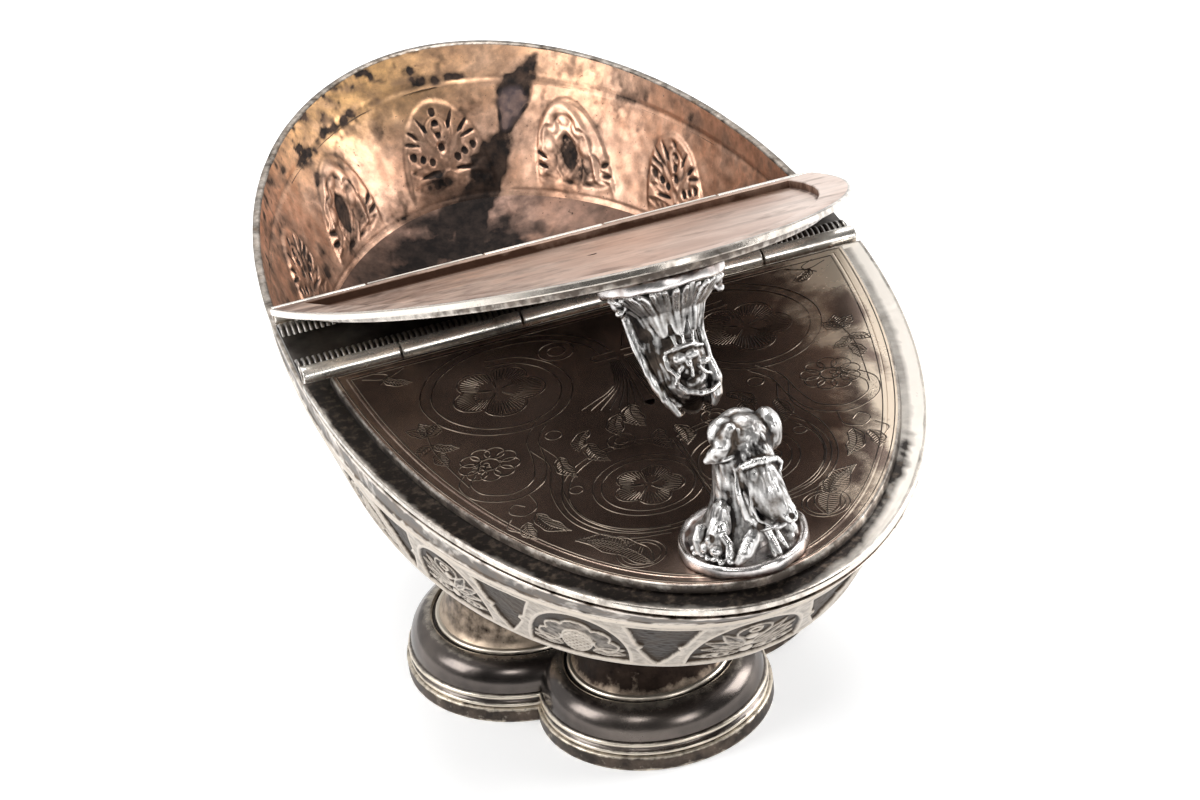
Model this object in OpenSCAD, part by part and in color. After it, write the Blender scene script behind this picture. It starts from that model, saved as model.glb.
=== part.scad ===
// Incense boat: a silver bowl on a four-lobed foot, with two hinged lids and cast beast handles.
// Millimetres. The origin is on the table under the middle of the foot, +X runs along the hinges,
// -Y points to the closed front lid, +Y to the open half, +Z is up.

/* [Bowl] */
// Half of the bowl's width at the rim
bowl_half_w = 40.5; // [36:0.5:46]
// Half of the bowl's length at the rim
bowl_half_l = 88.5; // [80:0.5:98]
// Height of the rim above the table
rim_z = 58.3; // [54:0.1:66]
// Wall of the raised bowl
wall = 1.2; // [0.8:0.1:1.8]
// Height of the plain rim band
band_h = 4.5; // [3:0.1:6]
// How far the rim band draws in at the sides
band_in_w = 0.5; // [0:0.1:1.5]
// How far the rim band draws in at the tips
band_in_l = 6; // [3:0.5:8]
// Height of the ornamented frieze under the band
frieze_h = 14.5; // [11:0.5:17]
// How far the frieze draws in at the sides
frieze_in_w = 4.5; // [3:0.5:6]
// How far the frieze draws in at the tips
frieze_in_l = 13; // [9:0.5:16]
// Depth of the rounded underbody below the frieze
under_h = 10.5; // [7:0.1:13]
// Half width of the flat bottom
floor_half_w = 21; // [19:0.5:26]
// Half length of the flat bottom
floor_half_l = 31; // [28:0.5:40]

/* [Foot] */
// Distance of the two side lobes from the middle
side_lobe_d = 13.1; // [11:0.1:15]
// Radius of the two side lobes
side_lobe_r = 18.1; // [16.5:0.1:20]
// Distance of the front and rear lobes from the middle
end_lobe_d = 20.3; // [18:0.1:22]
// Radius of the front and rear lobes
end_lobe_r = 17; // [16:0.1:19]
// Height of the strip that stands on the table
strip_h = 2.4; // [1.6:0.1:3.2]
// Thickness of that strip
strip_t = 1.8; // [1.4:0.1:2.6]
// Height of the small bead above the strip
bead_h = 2; // [1.5:0.1:2.6]
// Height of the convex moulding
ovolo_h = 4.2; // [3:0.1:5.5]
// How far the convex moulding draws in
ovolo_in = 3.4; // [2.4:0.1:4]
// Width of the ledge that carries the neck
ledge_w = 1.4; // [1:0.1:2]
// How far the neck draws in at its waist
neck_in = 1.4; // [0.5:0.1:2.2]
// Wall of the hollow neck
neck_wall = 1.6; // [1.2:0.1:2.2]

/* [Hinges] */
// Distance of each hinge axis from the middle
hinge_y = 9.2; // [8.4:0.1:11]
// Height of the hinge axes above the rim
hinge_rise = 1.6; // [1.6:0.05:2]
// Radius of the hinge barrels
barrel_r = 1.3; // [1.1:0.05:1.4]
// Radius of the hinge pins
pin_r = 0.6; // [0.4:0.05:0.8]
// Radial play of the pins in the lids' knuckles
pin_play = 0.05; // [0.02:0.01:0.1]
// Gap between neighbouring knuckles
knuckle_gap = 0.25; // [0.15:0.05:0.4]
// Play between a barrel and the plates beside it
barrel_play = 0.3; // [0.25:0.05:0.5]
// Distance of the barrel ends from the bowl's side
barrel_in = 0.5; // [0.5:0.1:1.5]
// Thickness of the bridge plate
bridge_t = 1; // [0.8:0.1:1.1]
// Length of each end knuckle
end_knuckle = 13.9; // [11:0.1:17]
// Length of the middle knuckle
mid_knuckle = 17.8; // [14:0.1:20]
// Radius of the ribbed round mouldings on the bridge
reed_r = 2.2; // [1.6:0.1:2.3]
// Pitch of the ribs
rib_pitch = 0.8; // [0.8:0.1:1.6]
// Depth of the ribs
rib_depth = 0.3; // [0.1:0.02:0.4]

/* [Lids] */
// Gap between the rim and a closed lid
lid_gap = 0.4; // [0.3:0.05:0.6]
// Thickness of the lid sheet
lid_t = 1; // [0.8:0.1:1.2]
// Rise of the raised panel
panel_rise = 1.2; // [0.8:0.1:1.3]
// Width of the flat margin round the panel
margin_w = 3.4; // [2.8:0.1:4.4]
// Width of the margin along the hinge
hinge_margin_w = 2.2; // [2.2:0.1:3.5]
// Bevel of the panel's edge
panel_bevel = 0.4; // [0.2:0.1:0.6]
// Angle that the rear lid is opened by
open_deg = 156; // [150:1:156]

/* [Handles] */
// Distance of the handle from the lid's tip
handle_in = 11.6; // [11.5:0.1:14]
// Radius of the handle's base disc
disc_r = 8.1; // [7.6:0.1:8.1]
// Thickness of the base disc
disc_t = 1; // [0.8:0.1:1.4]
// Height of the disc's raised edge above its floor
disc_edge_h = 0.7; // [0.4:0.1:1]
// Width of the disc's raised edge
disc_edge_w = 0.8; // [0.6:0.1:1]
// Height of the beasts above the base disc
beast_h = 17; // [15:0.1:17.5]
// Turn of the front beast's head to one side
head_turn = 30; // [0:1:40]

/* [Hidden] */
$fn = 48;
eps = 0.01;
side_exp = 2 / 1.95;
tip_exp = 2 / 2.19;
around = 72;
lid_steps = 48;

band_z = rim_z - band_h;
frieze_z = band_z - frieze_h;
floor_z = frieze_z - under_h;
hinge_z = rim_z + hinge_rise;
barrel_half = bowl_half_w - barrel_in;
knuckle_x = [-barrel_half, end_knuckle - barrel_half, -mid_knuckle / 2, mid_knuckle / 2,
    barrel_half - end_knuckle, barrel_half];
plate_off = barrel_r + barrel_play;
bridge_half = hinge_y - plate_off;
lid_edge_y = hinge_y + plate_off;
reed_sink = 0.545;
reed_y = bridge_half - barrel_play - reed_r * sqrt(1 - reed_sink * reed_sink);
lid_z = rim_z + lid_gap;
panel_z = lid_z + lid_t + panel_rise;
handle_y = bowl_half_l - handle_in;
bead_in = 0.5;
bead_z = strip_h + bead_h;
ovolo_z = bead_z + ovolo_h;
groove_d = 0.4;
ledge_z = ovolo_z + 0.3;
ledge_in = 2 * bead_in + ovolo_in + ledge_w;
neck_fill_r = 14;
ledge_lip = 0.8;
beast_s = beast_h / 17;
seat_play = 0.15;

silver = [0.75, 0.74, 0.72];
dark_silver = [0.33, 0.28, 0.25];
gilt = [0.78, 0.6, 0.48];

// Signed power, used for the oval outline of the boat
function spow(v, e) = sign(v) * pow(abs(v), e);
function oval(hw, hl, t) = [hw * spow(cos(t), side_exp), hl * spow(sin(t), tip_exp)];
function ring(hw, hl, z) =
    [for (i = [0:around - 1]) let (q = oval(hw, hl, 360 * i / around)) [q[0], q[1], z]];

// Front half of the oval, cut off straight at distance y0 from the middle
function half_oval(hw, hl, y0) =
    let (t0 = asin(pow(y0 / hl, 1 / tip_exp)))
    [for (i = [0:lid_steps]) oval(hw, hl, 180 + t0 + (180 - 2 * t0) * i / lid_steps)];

// Closed skin over a list of rings that all have the same number of points
function flat(rings) = [for (r = rings) for (q = r) q];
function band_faces(n, a, b) =
    [for (i = [0:n - 1]) let (j = (i + 1) % n)
        each [[a * n + i, b * n + i, b * n + j], [a * n + i, b * n + j, a * n + j]]];

module loft(rings) {
    n = len(rings[0]);
    last = len(rings) - 1;
    middle = [0, 0, rings[0][0][2]];
    top = [0, 0, rings[last][0][2]];
    polyhedron(
        concat(flat(rings), [middle, top]),
        concat(
            [for (k = [0:last - 1]) each band_faces(n, k, k + 1)],
            [for (i = [0:n - 1]) [(last + 1) * n, i, (i + 1) % n]],
            [for (i = [0:n - 1]) [(last + 1) * n + 1, last * n + (i + 1) % n, last * n + i]]));
}

module loft_ring(rings) {
    count = len(rings);
    polyhedron(
        flat(rings),
        [for (k = [0:count - 1]) each band_faces(len(rings[0]), k, (k + 1) % count)]);
}

// Bowl profile: half width, half length and height from the floor up, drawn in by a wall
under_steps = 7;
under_exp = 1.6;
frieze_half_w = bowl_half_w - band_in_w - frieze_in_w;
frieze_half_l = bowl_half_l - band_in_l - frieze_in_l;
band_half_w = bowl_half_w - band_in_w;
band_half_l = bowl_half_l - band_in_l;
function under_ring(k, t) =
    let (f = k / under_steps)
    ring(floor_half_w + (frieze_half_w - floor_half_w) * f - t,
        floor_half_l + (frieze_half_l - floor_half_l) * f - t,
        floor_z + t + (under_h - t) * pow(f, under_exp));
function frieze_ring(f, t) =
    ring(frieze_half_w + frieze_in_w * f - t, frieze_half_l + frieze_in_l * f - t, frieze_z + frieze_h * f);
function bowl_rings(t) =
    concat([for (k = [0:under_steps]) under_ring(k, t)], [for (f = [0.35, 0.7, 1]) frieze_ring(f, t)]);

module lobes() {
    for (s = [-1, 1]) {
        translate([s * side_lobe_d, 0, 0]) children(0);
        translate([0, s * end_lobe_d, 0]) children(1);
    }
}

// Foot moulding of one lobe, from the strip up to the ledge
module lobe_outside(r) {
    ovolo_steps = 5;
    r0 = r - bead_in;
    r1 = r0 - bead_in;
    rotate_extrude()
        polygon(concat(
            [[0, strip_h], [r0, strip_h], [r0, strip_h + bead_h * 0.25], [r1, strip_h + bead_h * 0.35]],
            [[r1, strip_h + bead_h * 0.55], [r0, strip_h + bead_h * 0.65], [r0, bead_z - bead_h * 0.1]],
            [for (k = [0:ovolo_steps]) let (a = 90 * k / ovolo_steps)
                [r1 - ovolo_in * (1 - cos(a)), bead_z + ovolo_h * sin(a)]],
            [[r1 - ovolo_in, ovolo_z - groove_d], [r1 - ovolo_in - groove_d, ovolo_z - groove_d]],
            [[r1 - ovolo_in - groove_d, ledge_z], [0, ledge_z]]));
}

module lobe_inside(r) {
    r1 = r - 2 * bead_in - wall;
    rotate_extrude()
        polygon([[0, strip_h - eps], [r1, strip_h - eps], [r1, bead_z],
            [r1 - ovolo_in * 0.45, bead_z + ovolo_h * 0.6], [r1 - ovolo_in, ovolo_z - wall],
            [0, ovolo_z - wall]]);
}

module base_strip() color(dark_silver) difference() {
    lobes() {
        cylinder(r = side_lobe_r, h = strip_h);
        cylinder(r = end_lobe_r, h = strip_h);
    }
    translate([0, 0, -eps]) lobes() {
        cylinder(r = side_lobe_r - strip_t, h = strip_h + 2 * eps);
        cylinder(r = end_lobe_r - strip_t, h = strip_h + 2 * eps);
    }
}

module foot_shell() color(dark_silver) difference() {
    lobes() {
        lobe_outside(side_lobe_r);
        lobe_outside(end_lobe_r);
    }
    lobes() {
        lobe_inside(side_lobe_r);
        lobe_inside(end_lobe_r);
    }
    linear_extrude(2 * ledge_z) polygon([for (q = neck_ring(0, neck_wall + ledge_lip)) [q[0], q[1]]]);
}

// Far crossing of a ray from the middle with one lobe, or 0 where it misses
function lobe_reach(a, d, r) =
    let (h = r * r - pow(d * sin(a), 2))
    cos(a) > 0 && h > 0 ? d * cos(a) + sqrt(h) : 0;
function foot_reach(a, inset) = max(neck_fill_r,
    lobe_reach(a, side_lobe_d, side_lobe_r - inset), lobe_reach(a - 180, side_lobe_d, side_lobe_r - inset),
    lobe_reach(a - 90, end_lobe_d, end_lobe_r - inset), lobe_reach(a - 270, end_lobe_d, end_lobe_r - inset));
function floor_reach(a) =
    let (e = wall) 1 / sqrt(pow(cos(a) / (floor_half_w - e), 2) + pow(sin(a) / (floor_half_l - e), 2));

// Neck between the lobed ledge and the oval bottom of the bowl, hollow and drawn in at its waist
neck_steps = 9;
function neck_ring(f, t) =
    let (blend = pow(f, 2.5), waist = neck_in * sin(180 * pow(f, 0.6)))
    [for (i = [0:around - 1]) let (a = 360 * i / around,
        r = foot_reach(a, ledge_in + waist) * (1 - blend) + floor_reach(a) * blend - t)
        [r * cos(a), r * sin(a), ledge_z + (floor_z - ledge_z) * f]];
module neck() color(dark_silver) loft_ring(concat(
    [for (k = [0:neck_steps]) neck_ring(k / neck_steps, 0)],
    [for (k = [0:neck_steps]) neck_ring(1 - k / neck_steps, neck_wall)]));

module bowl_shell() color(gilt) {
    outer = bowl_rings(0);
    inner = bowl_rings(wall);
    n = len(inner);
    loft(concat(outer, [for (k = [0:n - 1]) inner[n - 1 - k]]));
}

module rim_band() color(silver) loft_ring([
    ring(band_half_w, band_half_l, band_z), ring(bowl_half_w, bowl_half_l, rim_z),
    ring(bowl_half_w - wall, bowl_half_l - wall, rim_z),
    ring(band_half_w - wall, band_half_l - wall, band_z)]);

module bridge_plate() color(dark_silver)
    translate([-barrel_half, -bridge_half, rim_z])
        cube([2 * barrel_half, 2 * bridge_half, bridge_t]);

// Low rounded moulding with ribs over it, lying on the bridge along the hinge
module bridge_reed() color(dark_silver) {
    ribs = floor(2 * barrel_half / rib_pitch);
    pitch = 2 * barrel_half / ribs;
    intersection() {
        translate([-barrel_half, 0, rim_z + bridge_t - reed_r * reed_sink]) rotate([0, 90, 0])
            rotate_extrude()
                polygon(concat([[0, 0]],
                    [for (i = [0:ribs - 1])
                        each [[reed_r - rib_depth, pitch * i], [reed_r, pitch * (i + 0.5)]]],
                    [[reed_r - rib_depth, 2 * barrel_half], [0, 2 * barrel_half]]));
        translate([-barrel_half, -2 * reed_r, rim_z + bridge_t])
            cube([2 * barrel_half, 4 * reed_r, 2 * reed_r]);
    }
}

module front_bridge_reed() translate([0, -reed_y, 0]) bridge_reed();
module rear_bridge_reed() translate([0, reed_y, 0]) bridge_reed();

// Knuckles of the front hinge: first, first + 2, and so on; each has a leaf to one side
module knuckle_row(first, hole_r, leaf_y, leaf_z, leaf_t) {
    difference() {
        for (k = [first:2:len(knuckle_x) - 2])
            let (length = knuckle_x[k + 1] - knuckle_x[k] - knuckle_gap)
            translate([knuckle_x[k] + knuckle_gap / 2, -hinge_y, 0]) {
                translate([0, 0, hinge_z]) rotate([0, 90, 0]) cylinder(r = barrel_r, h = length);
                translate([0, min(leaf_y, 0), leaf_z]) cube([length, abs(leaf_y), leaf_t]);
            }
        translate([-bowl_half_w, -hinge_y, hinge_z]) rotate([0, 90, 0])
            cylinder(r = hole_r, h = 2 * bowl_half_w);
    }
}

module bridge_knuckles() color(silver) knuckle_row(0, pin_r, plate_off, rim_z, bridge_t);
module front_bridge_knuckles() bridge_knuckles();
module rear_bridge_knuckles() rotate([0, 0, 180]) bridge_knuckles();

module hinge_pin() color(silver)
    translate([-barrel_half, -hinge_y, hinge_z]) rotate([0, 90, 0])
        cylinder(r = pin_r, h = 2 * barrel_half);
module front_hinge_pin() hinge_pin();
module rear_hinge_pin() rotate([0, 0, 180]) hinge_pin();

// Carries a piece of the front lid over to the rear lid in its open place
module on_rear_lid()
    translate([0, hinge_y, hinge_z]) rotate([open_deg, 0, 0])
        translate([0, -hinge_y, -hinge_z]) rotate([0, 0, 180]) children();

module lid_sheet(inset, edge_in, h)
    linear_extrude(h)
        polygon(half_oval(bowl_half_w - inset, bowl_half_l - inset, lid_edge_y + edge_in));

module lid_plate() color(dark_silver) {
    bevel = panel_bevel;
    translate([0, 0, lid_z]) difference() {
        union() {
            lid_sheet(0, 0, lid_t);
            lid_sheet(margin_w, hinge_margin_w, lid_t + panel_rise - bevel);
            lid_sheet(margin_w + bevel, hinge_margin_w + bevel, lid_t + panel_rise);
        }
        translate([0, 0, -eps])
            lid_sheet(margin_w + wall, hinge_margin_w + wall, panel_rise + eps);
    }
}

module lid_knuckles() color(silver)
    knuckle_row(1, pin_r + pin_play, -plate_off, lid_z, lid_t);

module at_handle() translate([0, -handle_y, panel_z]) children();

module handle_base() color(gilt) at_handle()
    rotate_extrude()
        polygon([[0, 0], [disc_r - 0.2, 0], [disc_r, disc_t * 0.4], [disc_r, disc_t],
            [disc_r - disc_edge_w * 0.3, disc_t + disc_edge_h],
            [disc_r - disc_edge_w * 0.8, disc_t + disc_edge_h],
            [disc_r - disc_edge_w, disc_t], [0, disc_t]]);

// Chain of beads [x, y, z, radius] blended one into the next
module chain(beads, n = 10)
    for (i = [0:len(beads) - 2])
        hull()
            for (b = [beads[i], beads[i + 1]])
                translate([b[0], b[1], b[2]]) sphere(r = b[3], $fn = n);

module ball(p, r) translate(p) scale(r) sphere(r = 1, $fn = 16);

// Sets a beast on its base disc, cut flat where it stands and clear of the disc's raised edge
module on_disc() color(silver) at_handle() translate([0, 0, disc_t]) intersection() {
    scale(beast_s) union() children();
    union() {
        cylinder(r = disc_r - disc_edge_w - seat_play, h = 2 * beast_h);
        translate([0, 0, disc_edge_h + seat_play]) cylinder(r = 2 * disc_r, h = 2 * beast_h);
    }
}

// Crouched beast: narrow body with two rounded ears on top, heavy head hanging to one side, paws
module front_beast() on_disc() {
    chain([[-0.8, 0.6, -0.4, 4.9], [-1, 0.5, 2.8, 4], [-1, 0.4, 6.2, 2.9], [-0.7, 0.2, 9.5, 2.8],
        [0.6, 0, 12, 3.3], [1.5, -0.2, 13.2, 3.4]], 18);
    ball([-1, 0.2, 14.6], [2.1, 1.9, 2.4]);
    ball([4.7, 0.5, 13.6], [1.7, 2.4, 2.8]);
    ball([1.4, 2, 13.8], [3, 2, 2.6]);
    rotate([0, 0, head_turn]) {
        chain([[0.6, -2.2, 12.2, 2.8], [0, -3.7, 10.2, 2.6], [-0.1, -5, 8, 2.3], [0.2, -6.3, 6.3, 1.7],
            [0.4, -7.3, 5.5, 1.3]], 16);
        chain([[-2.1, -2.3, 11.3, 0.6], [-2.1, -3.7, 12.5, 0.6], [-1.7, -4.7, 13.2, 0.6],
            [-0.3, -5.4, 12.9, 0.6], [1.7, -5.2, 11.9, 0.6]]);
        chain([[-2.2, -2.4, 11, 0.6], [-3, -3.1, 8.6, 0.7], [-2.8, -3.9, 5.6, 0.7], [-1.6, -5.2, 3.9, 0.6],
            [-0.7, -6.5, 4.3, 0.6]]);
        ball([-2.1, -6.3, 8.1], [0.6, 0.6, 0.5]);
        ball([-0.4, -7.1, 8], [0.6, 0.6, 0.5]);
        ball([0.1, -8.1, 5.9], [1, 0.7, 1]);
        ball([-1, -7.1, 4.9], [0.9, 0.7, 0.6]);
    }
    chain([[-3.6, -2, 4.4, 1.2], [-4.6, -2.9, 2.6, 1.2], [-6, -4, 0.9, 0.9]]);
    chain([[-3, -2.6, 3.6, 1.1], [-3.9, -4.2, 2, 1.1], [-4.5, -5.6, 0.7, 0.8]]);
    chain([[-4, -1, 4, 1.1], [-5.6, -1.4, 2.2, 1], [-7, -2, 0.8, 0.7]]);
    chain([[0.2, -4.4, 3.8, 0.6], [-0.6, -5, 2.6, 0.9], [-1.6, -5.5, 1.2, 0.9], [-2.5, -5.6, 0.4, 0.5]]);
    chain([[1.4, -4, 3.4, 0.9], [2.1, -5.2, 1.8, 1], [2.6, -6.2, 0.6, 0.7]]);
    chain([[3, -1, 4, 1.2], [4.4, -1.8, 2.2, 1.1], [5.4, -2.6, 0.9, 0.8]]);
    chain([[3.4, 0.4, 4, 1.1], [5, 0.4, 2.2, 1], [6, 0.2, 0.8, 0.7]]);
    chain([[0, 3.4, 0.4, 1.6], [0.4, 4.6, 4, 1.5], [0.9, 4.2, 8.5, 1.2], [0.9, 3.6, 12, 1.2]]);
}

// Hooded beast: face between two cloak edges that part at the tip, over a fan of leaves and two scrolls
module rear_beast() on_disc() {
    chain([[0, 0.8, -0.4, 4.6], [0.5, 0.5, 3.5, 3.7], [0.6, 0.2, 6, 3.4], [0.5, 0, 9, 3.5],
        [-0.2, 0, 12, 3.3], [-0.6, 1.6, 14.4, 2.2], [-0.8, 2.4, 16, 1.4]], 18);
    chain([[5.4, -0.5, 3.6, 0.9], [5, -0.9, 7, 0.9], [4.4, -1.2, 10.6, 0.8], [3.2, -1.3, 14, 0.7],
        [1.9, -1, 16.4, 0.5]]);
    chain([[3.8, 0, 4, 1.6], [3.4, -0.2, 8, 1.7], [2.8, -0.2, 12, 1.4], [1.5, 0.8, 15.4, 1]]);
    chain([[-3.6, -0.9, 3.8, 0.6], [-3.1, -1.7, 7, 0.6], [-3.2, -1.8, 10.4, 0.6], [-3.9, -1.6, 13, 0.7],
        [-3.6, -1, 16.2, 0.6]]);
    chain([[-2.6, 0, 12, 1.2], [-2.8, 0.8, 15.4, 1]]);
    chain([[1.4, -3.1, 12.8, 0.5], [-1, -3.6, 14.2, 0.5], [-3.5, -2.3, 14, 0.5]]);
    ball([-0.2, -2.4, 9.8], [2.6, 1.8, 2.8]);
    ball([0.9, -4, 9.4], [0.9, 0.7, 0.8]);
    ball([-0.8, -4.1, 9.3], [0.8, 0.7, 0.8]);
    ball([-2.1, -3.7, 10.7], [0.9, 0.7, 0.8]);
    for (a = [-72:36:72])
        chain([[3 * sin(a), -0.6 - 2.7 * cos(a), 6.2, 0.8], [4.2 * sin(a), -0.6 - 3.6 * cos(a), 3.4, 1],
            [6.6 * sin(a), -0.6 - 5.8 * cos(a), 1, 0.9]]);
    for (s = [-1, 1]) {
        ball([6.1 * s, -1.4, 1.4], [1.1, 1.1, 1.2]);
        ball([6.5 * s, -2.3, 2.4], [0.7, 0.7, 0.7]);
        ball([5.5 * s, -2.9, 1], [0.7, 0.7, 0.7]);
    }
}

module front_lid_plate() lid_plate();
module front_lid_knuckles() lid_knuckles();
module front_handle_base() handle_base();
module front_handle_beast() front_beast();
module rear_lid_plate() on_rear_lid() lid_plate();
module rear_lid_knuckles() on_rear_lid() lid_knuckles();
module rear_handle_base() on_rear_lid() handle_base();
module rear_handle_beast() on_rear_lid() rear_beast();

base_strip();
foot_shell();
neck();
bowl_shell();
rim_band();
bridge_plate();
front_bridge_reed();
rear_bridge_reed();
front_bridge_knuckles();
rear_bridge_knuckles();
front_hinge_pin();
rear_hinge_pin();
front_lid_plate();
front_lid_knuckles();
front_handle_base();
front_handle_beast();
rear_lid_plate();
rear_lid_knuckles();
rear_handle_base();
rear_handle_beast();
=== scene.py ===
import bmesh
import bpy
import math
import numpy as np
from mathutils import Matrix, Vector


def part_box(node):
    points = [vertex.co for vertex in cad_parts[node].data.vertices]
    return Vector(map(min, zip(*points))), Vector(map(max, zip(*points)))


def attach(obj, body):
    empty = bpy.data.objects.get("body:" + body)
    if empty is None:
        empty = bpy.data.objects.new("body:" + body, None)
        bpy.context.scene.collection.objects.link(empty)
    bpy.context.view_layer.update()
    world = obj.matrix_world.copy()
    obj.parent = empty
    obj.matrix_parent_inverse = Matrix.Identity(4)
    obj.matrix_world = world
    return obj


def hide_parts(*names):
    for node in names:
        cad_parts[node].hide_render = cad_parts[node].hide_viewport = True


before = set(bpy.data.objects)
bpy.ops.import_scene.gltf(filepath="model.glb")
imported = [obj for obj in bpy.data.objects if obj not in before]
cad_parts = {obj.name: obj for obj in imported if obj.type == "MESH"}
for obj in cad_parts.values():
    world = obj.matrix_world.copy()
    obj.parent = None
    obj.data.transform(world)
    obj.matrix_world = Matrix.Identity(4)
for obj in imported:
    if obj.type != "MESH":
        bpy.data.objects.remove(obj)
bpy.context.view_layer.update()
mm = 0.001
scene = bpy.context.scene
print("frame loaded:", len(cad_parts), "nodes")


# shader nodes: an input takes a value or the output of another node
def setSocket(tree, socket, value):
    if isinstance(value, bpy.types.NodeSocket):
        tree.links.new(value, socket)
    else:
        socket.default_value = value


def put(tree, kind, inputs=None, **props):
    node = tree.nodes.new("ShaderNode" + kind)
    for key, value in props.items():
        setattr(node, key, value)
    for key, value in (inputs or {}).items():
        setSocket(tree, node.inputs[key], value)
    return node


# camera at the photograph's angle, in millimetres and degrees
view = {"target": (8.4, 24.8, 23.5), "distance": 518.3, "azimuth": -13.03, "elevation": 30.73,
        "roll": -8.05, "lens": 102.6}


def makeCamera():
    az, el, roll = (math.radians(view[k]) for k in ("azimuth", "elevation", "roll"))
    back = np.array([math.sin(az) * math.cos(el), -math.cos(az) * math.cos(el), math.sin(el)])
    level = np.array([math.cos(az), math.sin(az), 0.0])
    upright = np.cross(back, level)
    right = level * math.cos(roll) + upright * math.sin(roll)
    up = upright * math.cos(roll) - level * math.sin(roll)
    place = (np.array(view["target"]) + back * view["distance"]) * mm
    data = bpy.data.cameras.new("camera")
    data.lens = view["lens"]
    data.clip_start = 0.01
    camera = bpy.data.objects.new("camera", data)
    camera.matrix_world = Matrix([(right[i], up[i], back[i], place[i]) for i in range(3)] + [(0, 0, 0, 1)])
    scene.collection.objects.link(camera)
    scene.camera = camera


# soft studio light round the boat, bright behind it and dim in front: metres, watts and brightness
studio = {"floorSize": 6.0, "floorColor": (0.85, 0.85, 0.85, 1), "floorGlow": 0.42, "floorRough": 0.9,
          "background": 1.0, "dim": 0.07, "bright": 0.95, "span": (-0.45, 0.4), "aim": (0, 0, 0.04),
          "boxes": [("topBox", (0.05, 0.35, 0.75), 0.45, 4.5), ("leftBox", (-0.75, 0.05, 0.45), 0.4, 3.5),
                    ("rightBox", (0.72, -0.05, 0.32), 0.4, 4.2), ("frontBox", (-0.45, -0.6, 0.75), 0.2, 1.2),
                    ("lowBox", (0.2, -0.8, 0.32), 0.25, 1.4)]}


def makeFloor():
    size = studio["floorSize"]
    mesh = bpy.data.meshes.new("floor")
    corners = [(-size, -size, 0), (size, -size, 0), (size, size, 0), (-size, size, 0)]
    mesh.from_pydata(corners, [], [(0, 1, 2, 3)])
    floor = bpy.data.objects.new("floor", mesh)
    scene.collection.objects.link(floor)
    paint = bpy.data.materials.new("paleFloor")
    paint.use_nodes = True
    shader = paint.node_tree.nodes["Principled BSDF"]
    shader.inputs["Base Color"].default_value = studio["floorColor"]
    shader.inputs["Roughness"].default_value = studio["floorRough"]
    shader.inputs["Emission Color"].default_value = (1, 1, 1, 1)
    shader.inputs["Emission Strength"].default_value = studio["floorGlow"]
    mesh.materials.append(paint)


def makeLamps():
    for name, place, width, power in studio["boxes"]:
        data = bpy.data.lights.new(name, "AREA")
        data.shape = "SQUARE"
        data.size = width
        data.energy = power
        lamp = bpy.data.objects.new(name, data)
        turn = (Vector(studio["aim"]) - Vector(place)).to_track_quat("-Z", "Y")
        lamp.matrix_world = Matrix.Translation(place) @ turn.to_matrix().to_4x4()
        scene.collection.objects.link(lamp)


def makeSurround():
    world = bpy.data.worlds.new("studio")
    world.use_nodes = True
    scene.world = world
    tree = world.node_tree
    tree.nodes.clear()
    aim = put(tree, "TexCoord")
    axes = put(tree, "SeparateXYZ", {0: aim.outputs["Generated"]})
    low, high = studio["span"]
    depth = put(tree, "MapRange", {"Value": axes.outputs["Y"], "From Min": low, "From Max": high,
                                   "To Min": studio["dim"], "To Max": studio["bright"]},
                interpolation_type="SMOOTHSTEP")
    seen = put(tree, "LightPath")
    pick = put(tree, "Mix", {0: seen.outputs["Is Camera Ray"], 2: depth.outputs[0], 3: studio["background"]},
               data_type="FLOAT")
    glow = put(tree, "Background", {"Strength": pick.outputs[0]})
    put(tree, "OutputWorld", {0: glow.outputs[0]})
    scene.view_settings.view_transform = "Standard"


makeCamera()
makeFloor()
makeLamps()
makeSurround()
print("camera and studio made")


# tools for noise and meshes
def latticeNoise(points, scale, seed):
    p = np.asarray(points, float).reshape(-1, 3) / scale + seed * 17.13
    cell = np.floor(p).astype(np.int64)
    f = p - cell
    f = f * f * (3 - 2 * f)
    total = np.zeros(len(p))
    for corner in range(8):
        step = np.array([corner & 1, corner >> 1 & 1, corner >> 2 & 1])
        c = cell + step
        h = (c[:, 0] * 374761393 + c[:, 1] * 668265263 + c[:, 2] * 1442695041 + seed * 144269) & 0xffffffff
        h = ((h ^ (h >> 13)) * 1274126177) & 0xffffffff
        value = ((h ^ (h >> 16)) & 0xffff) / 32767.5 - 1
        total += value * np.prod(np.where(step == 1, f, 1 - f), axis=1)
    return total.reshape(np.shape(points)[:-1])


def smoothStep(low, high, value):
    f = np.clip((value - low) / (high - low), 0, 1)
    return f * f * (3 - 2 * f)


def ridge(distance, width):
    return np.exp(-(distance / width) ** 2)


def pathRun(path):
    return np.concatenate([[0], np.cumsum(np.linalg.norm(np.diff(path, axis=0), axis=1))])


def atHeight(ring, z):
    return np.column_stack([ring, np.full(len(ring), z)])


def aboutX(x, middle, radius, turns):
    return np.column_stack([np.full(len(turns), x), middle[0] + radius * np.cos(turns),
                            middle[1] + radius * np.sin(turns)])


def gridFaces(rows, cols, closed):
    i, j = np.meshgrid(np.arange(rows - 1), np.arange(cols if closed else cols - 1), indexing="ij")
    k = (j + 1) % cols
    return np.stack([i * cols + j, i * cols + k, (i + 1) * cols + k, (i + 1) * cols + j], -1).reshape(-1, 4)


def setValues(mesh, key, values):
    layer = mesh.attributes.new(key, "FLOAT", "POINT")
    layer.data.foreach_set("value", np.asarray(values, np.float32).ravel())


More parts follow.
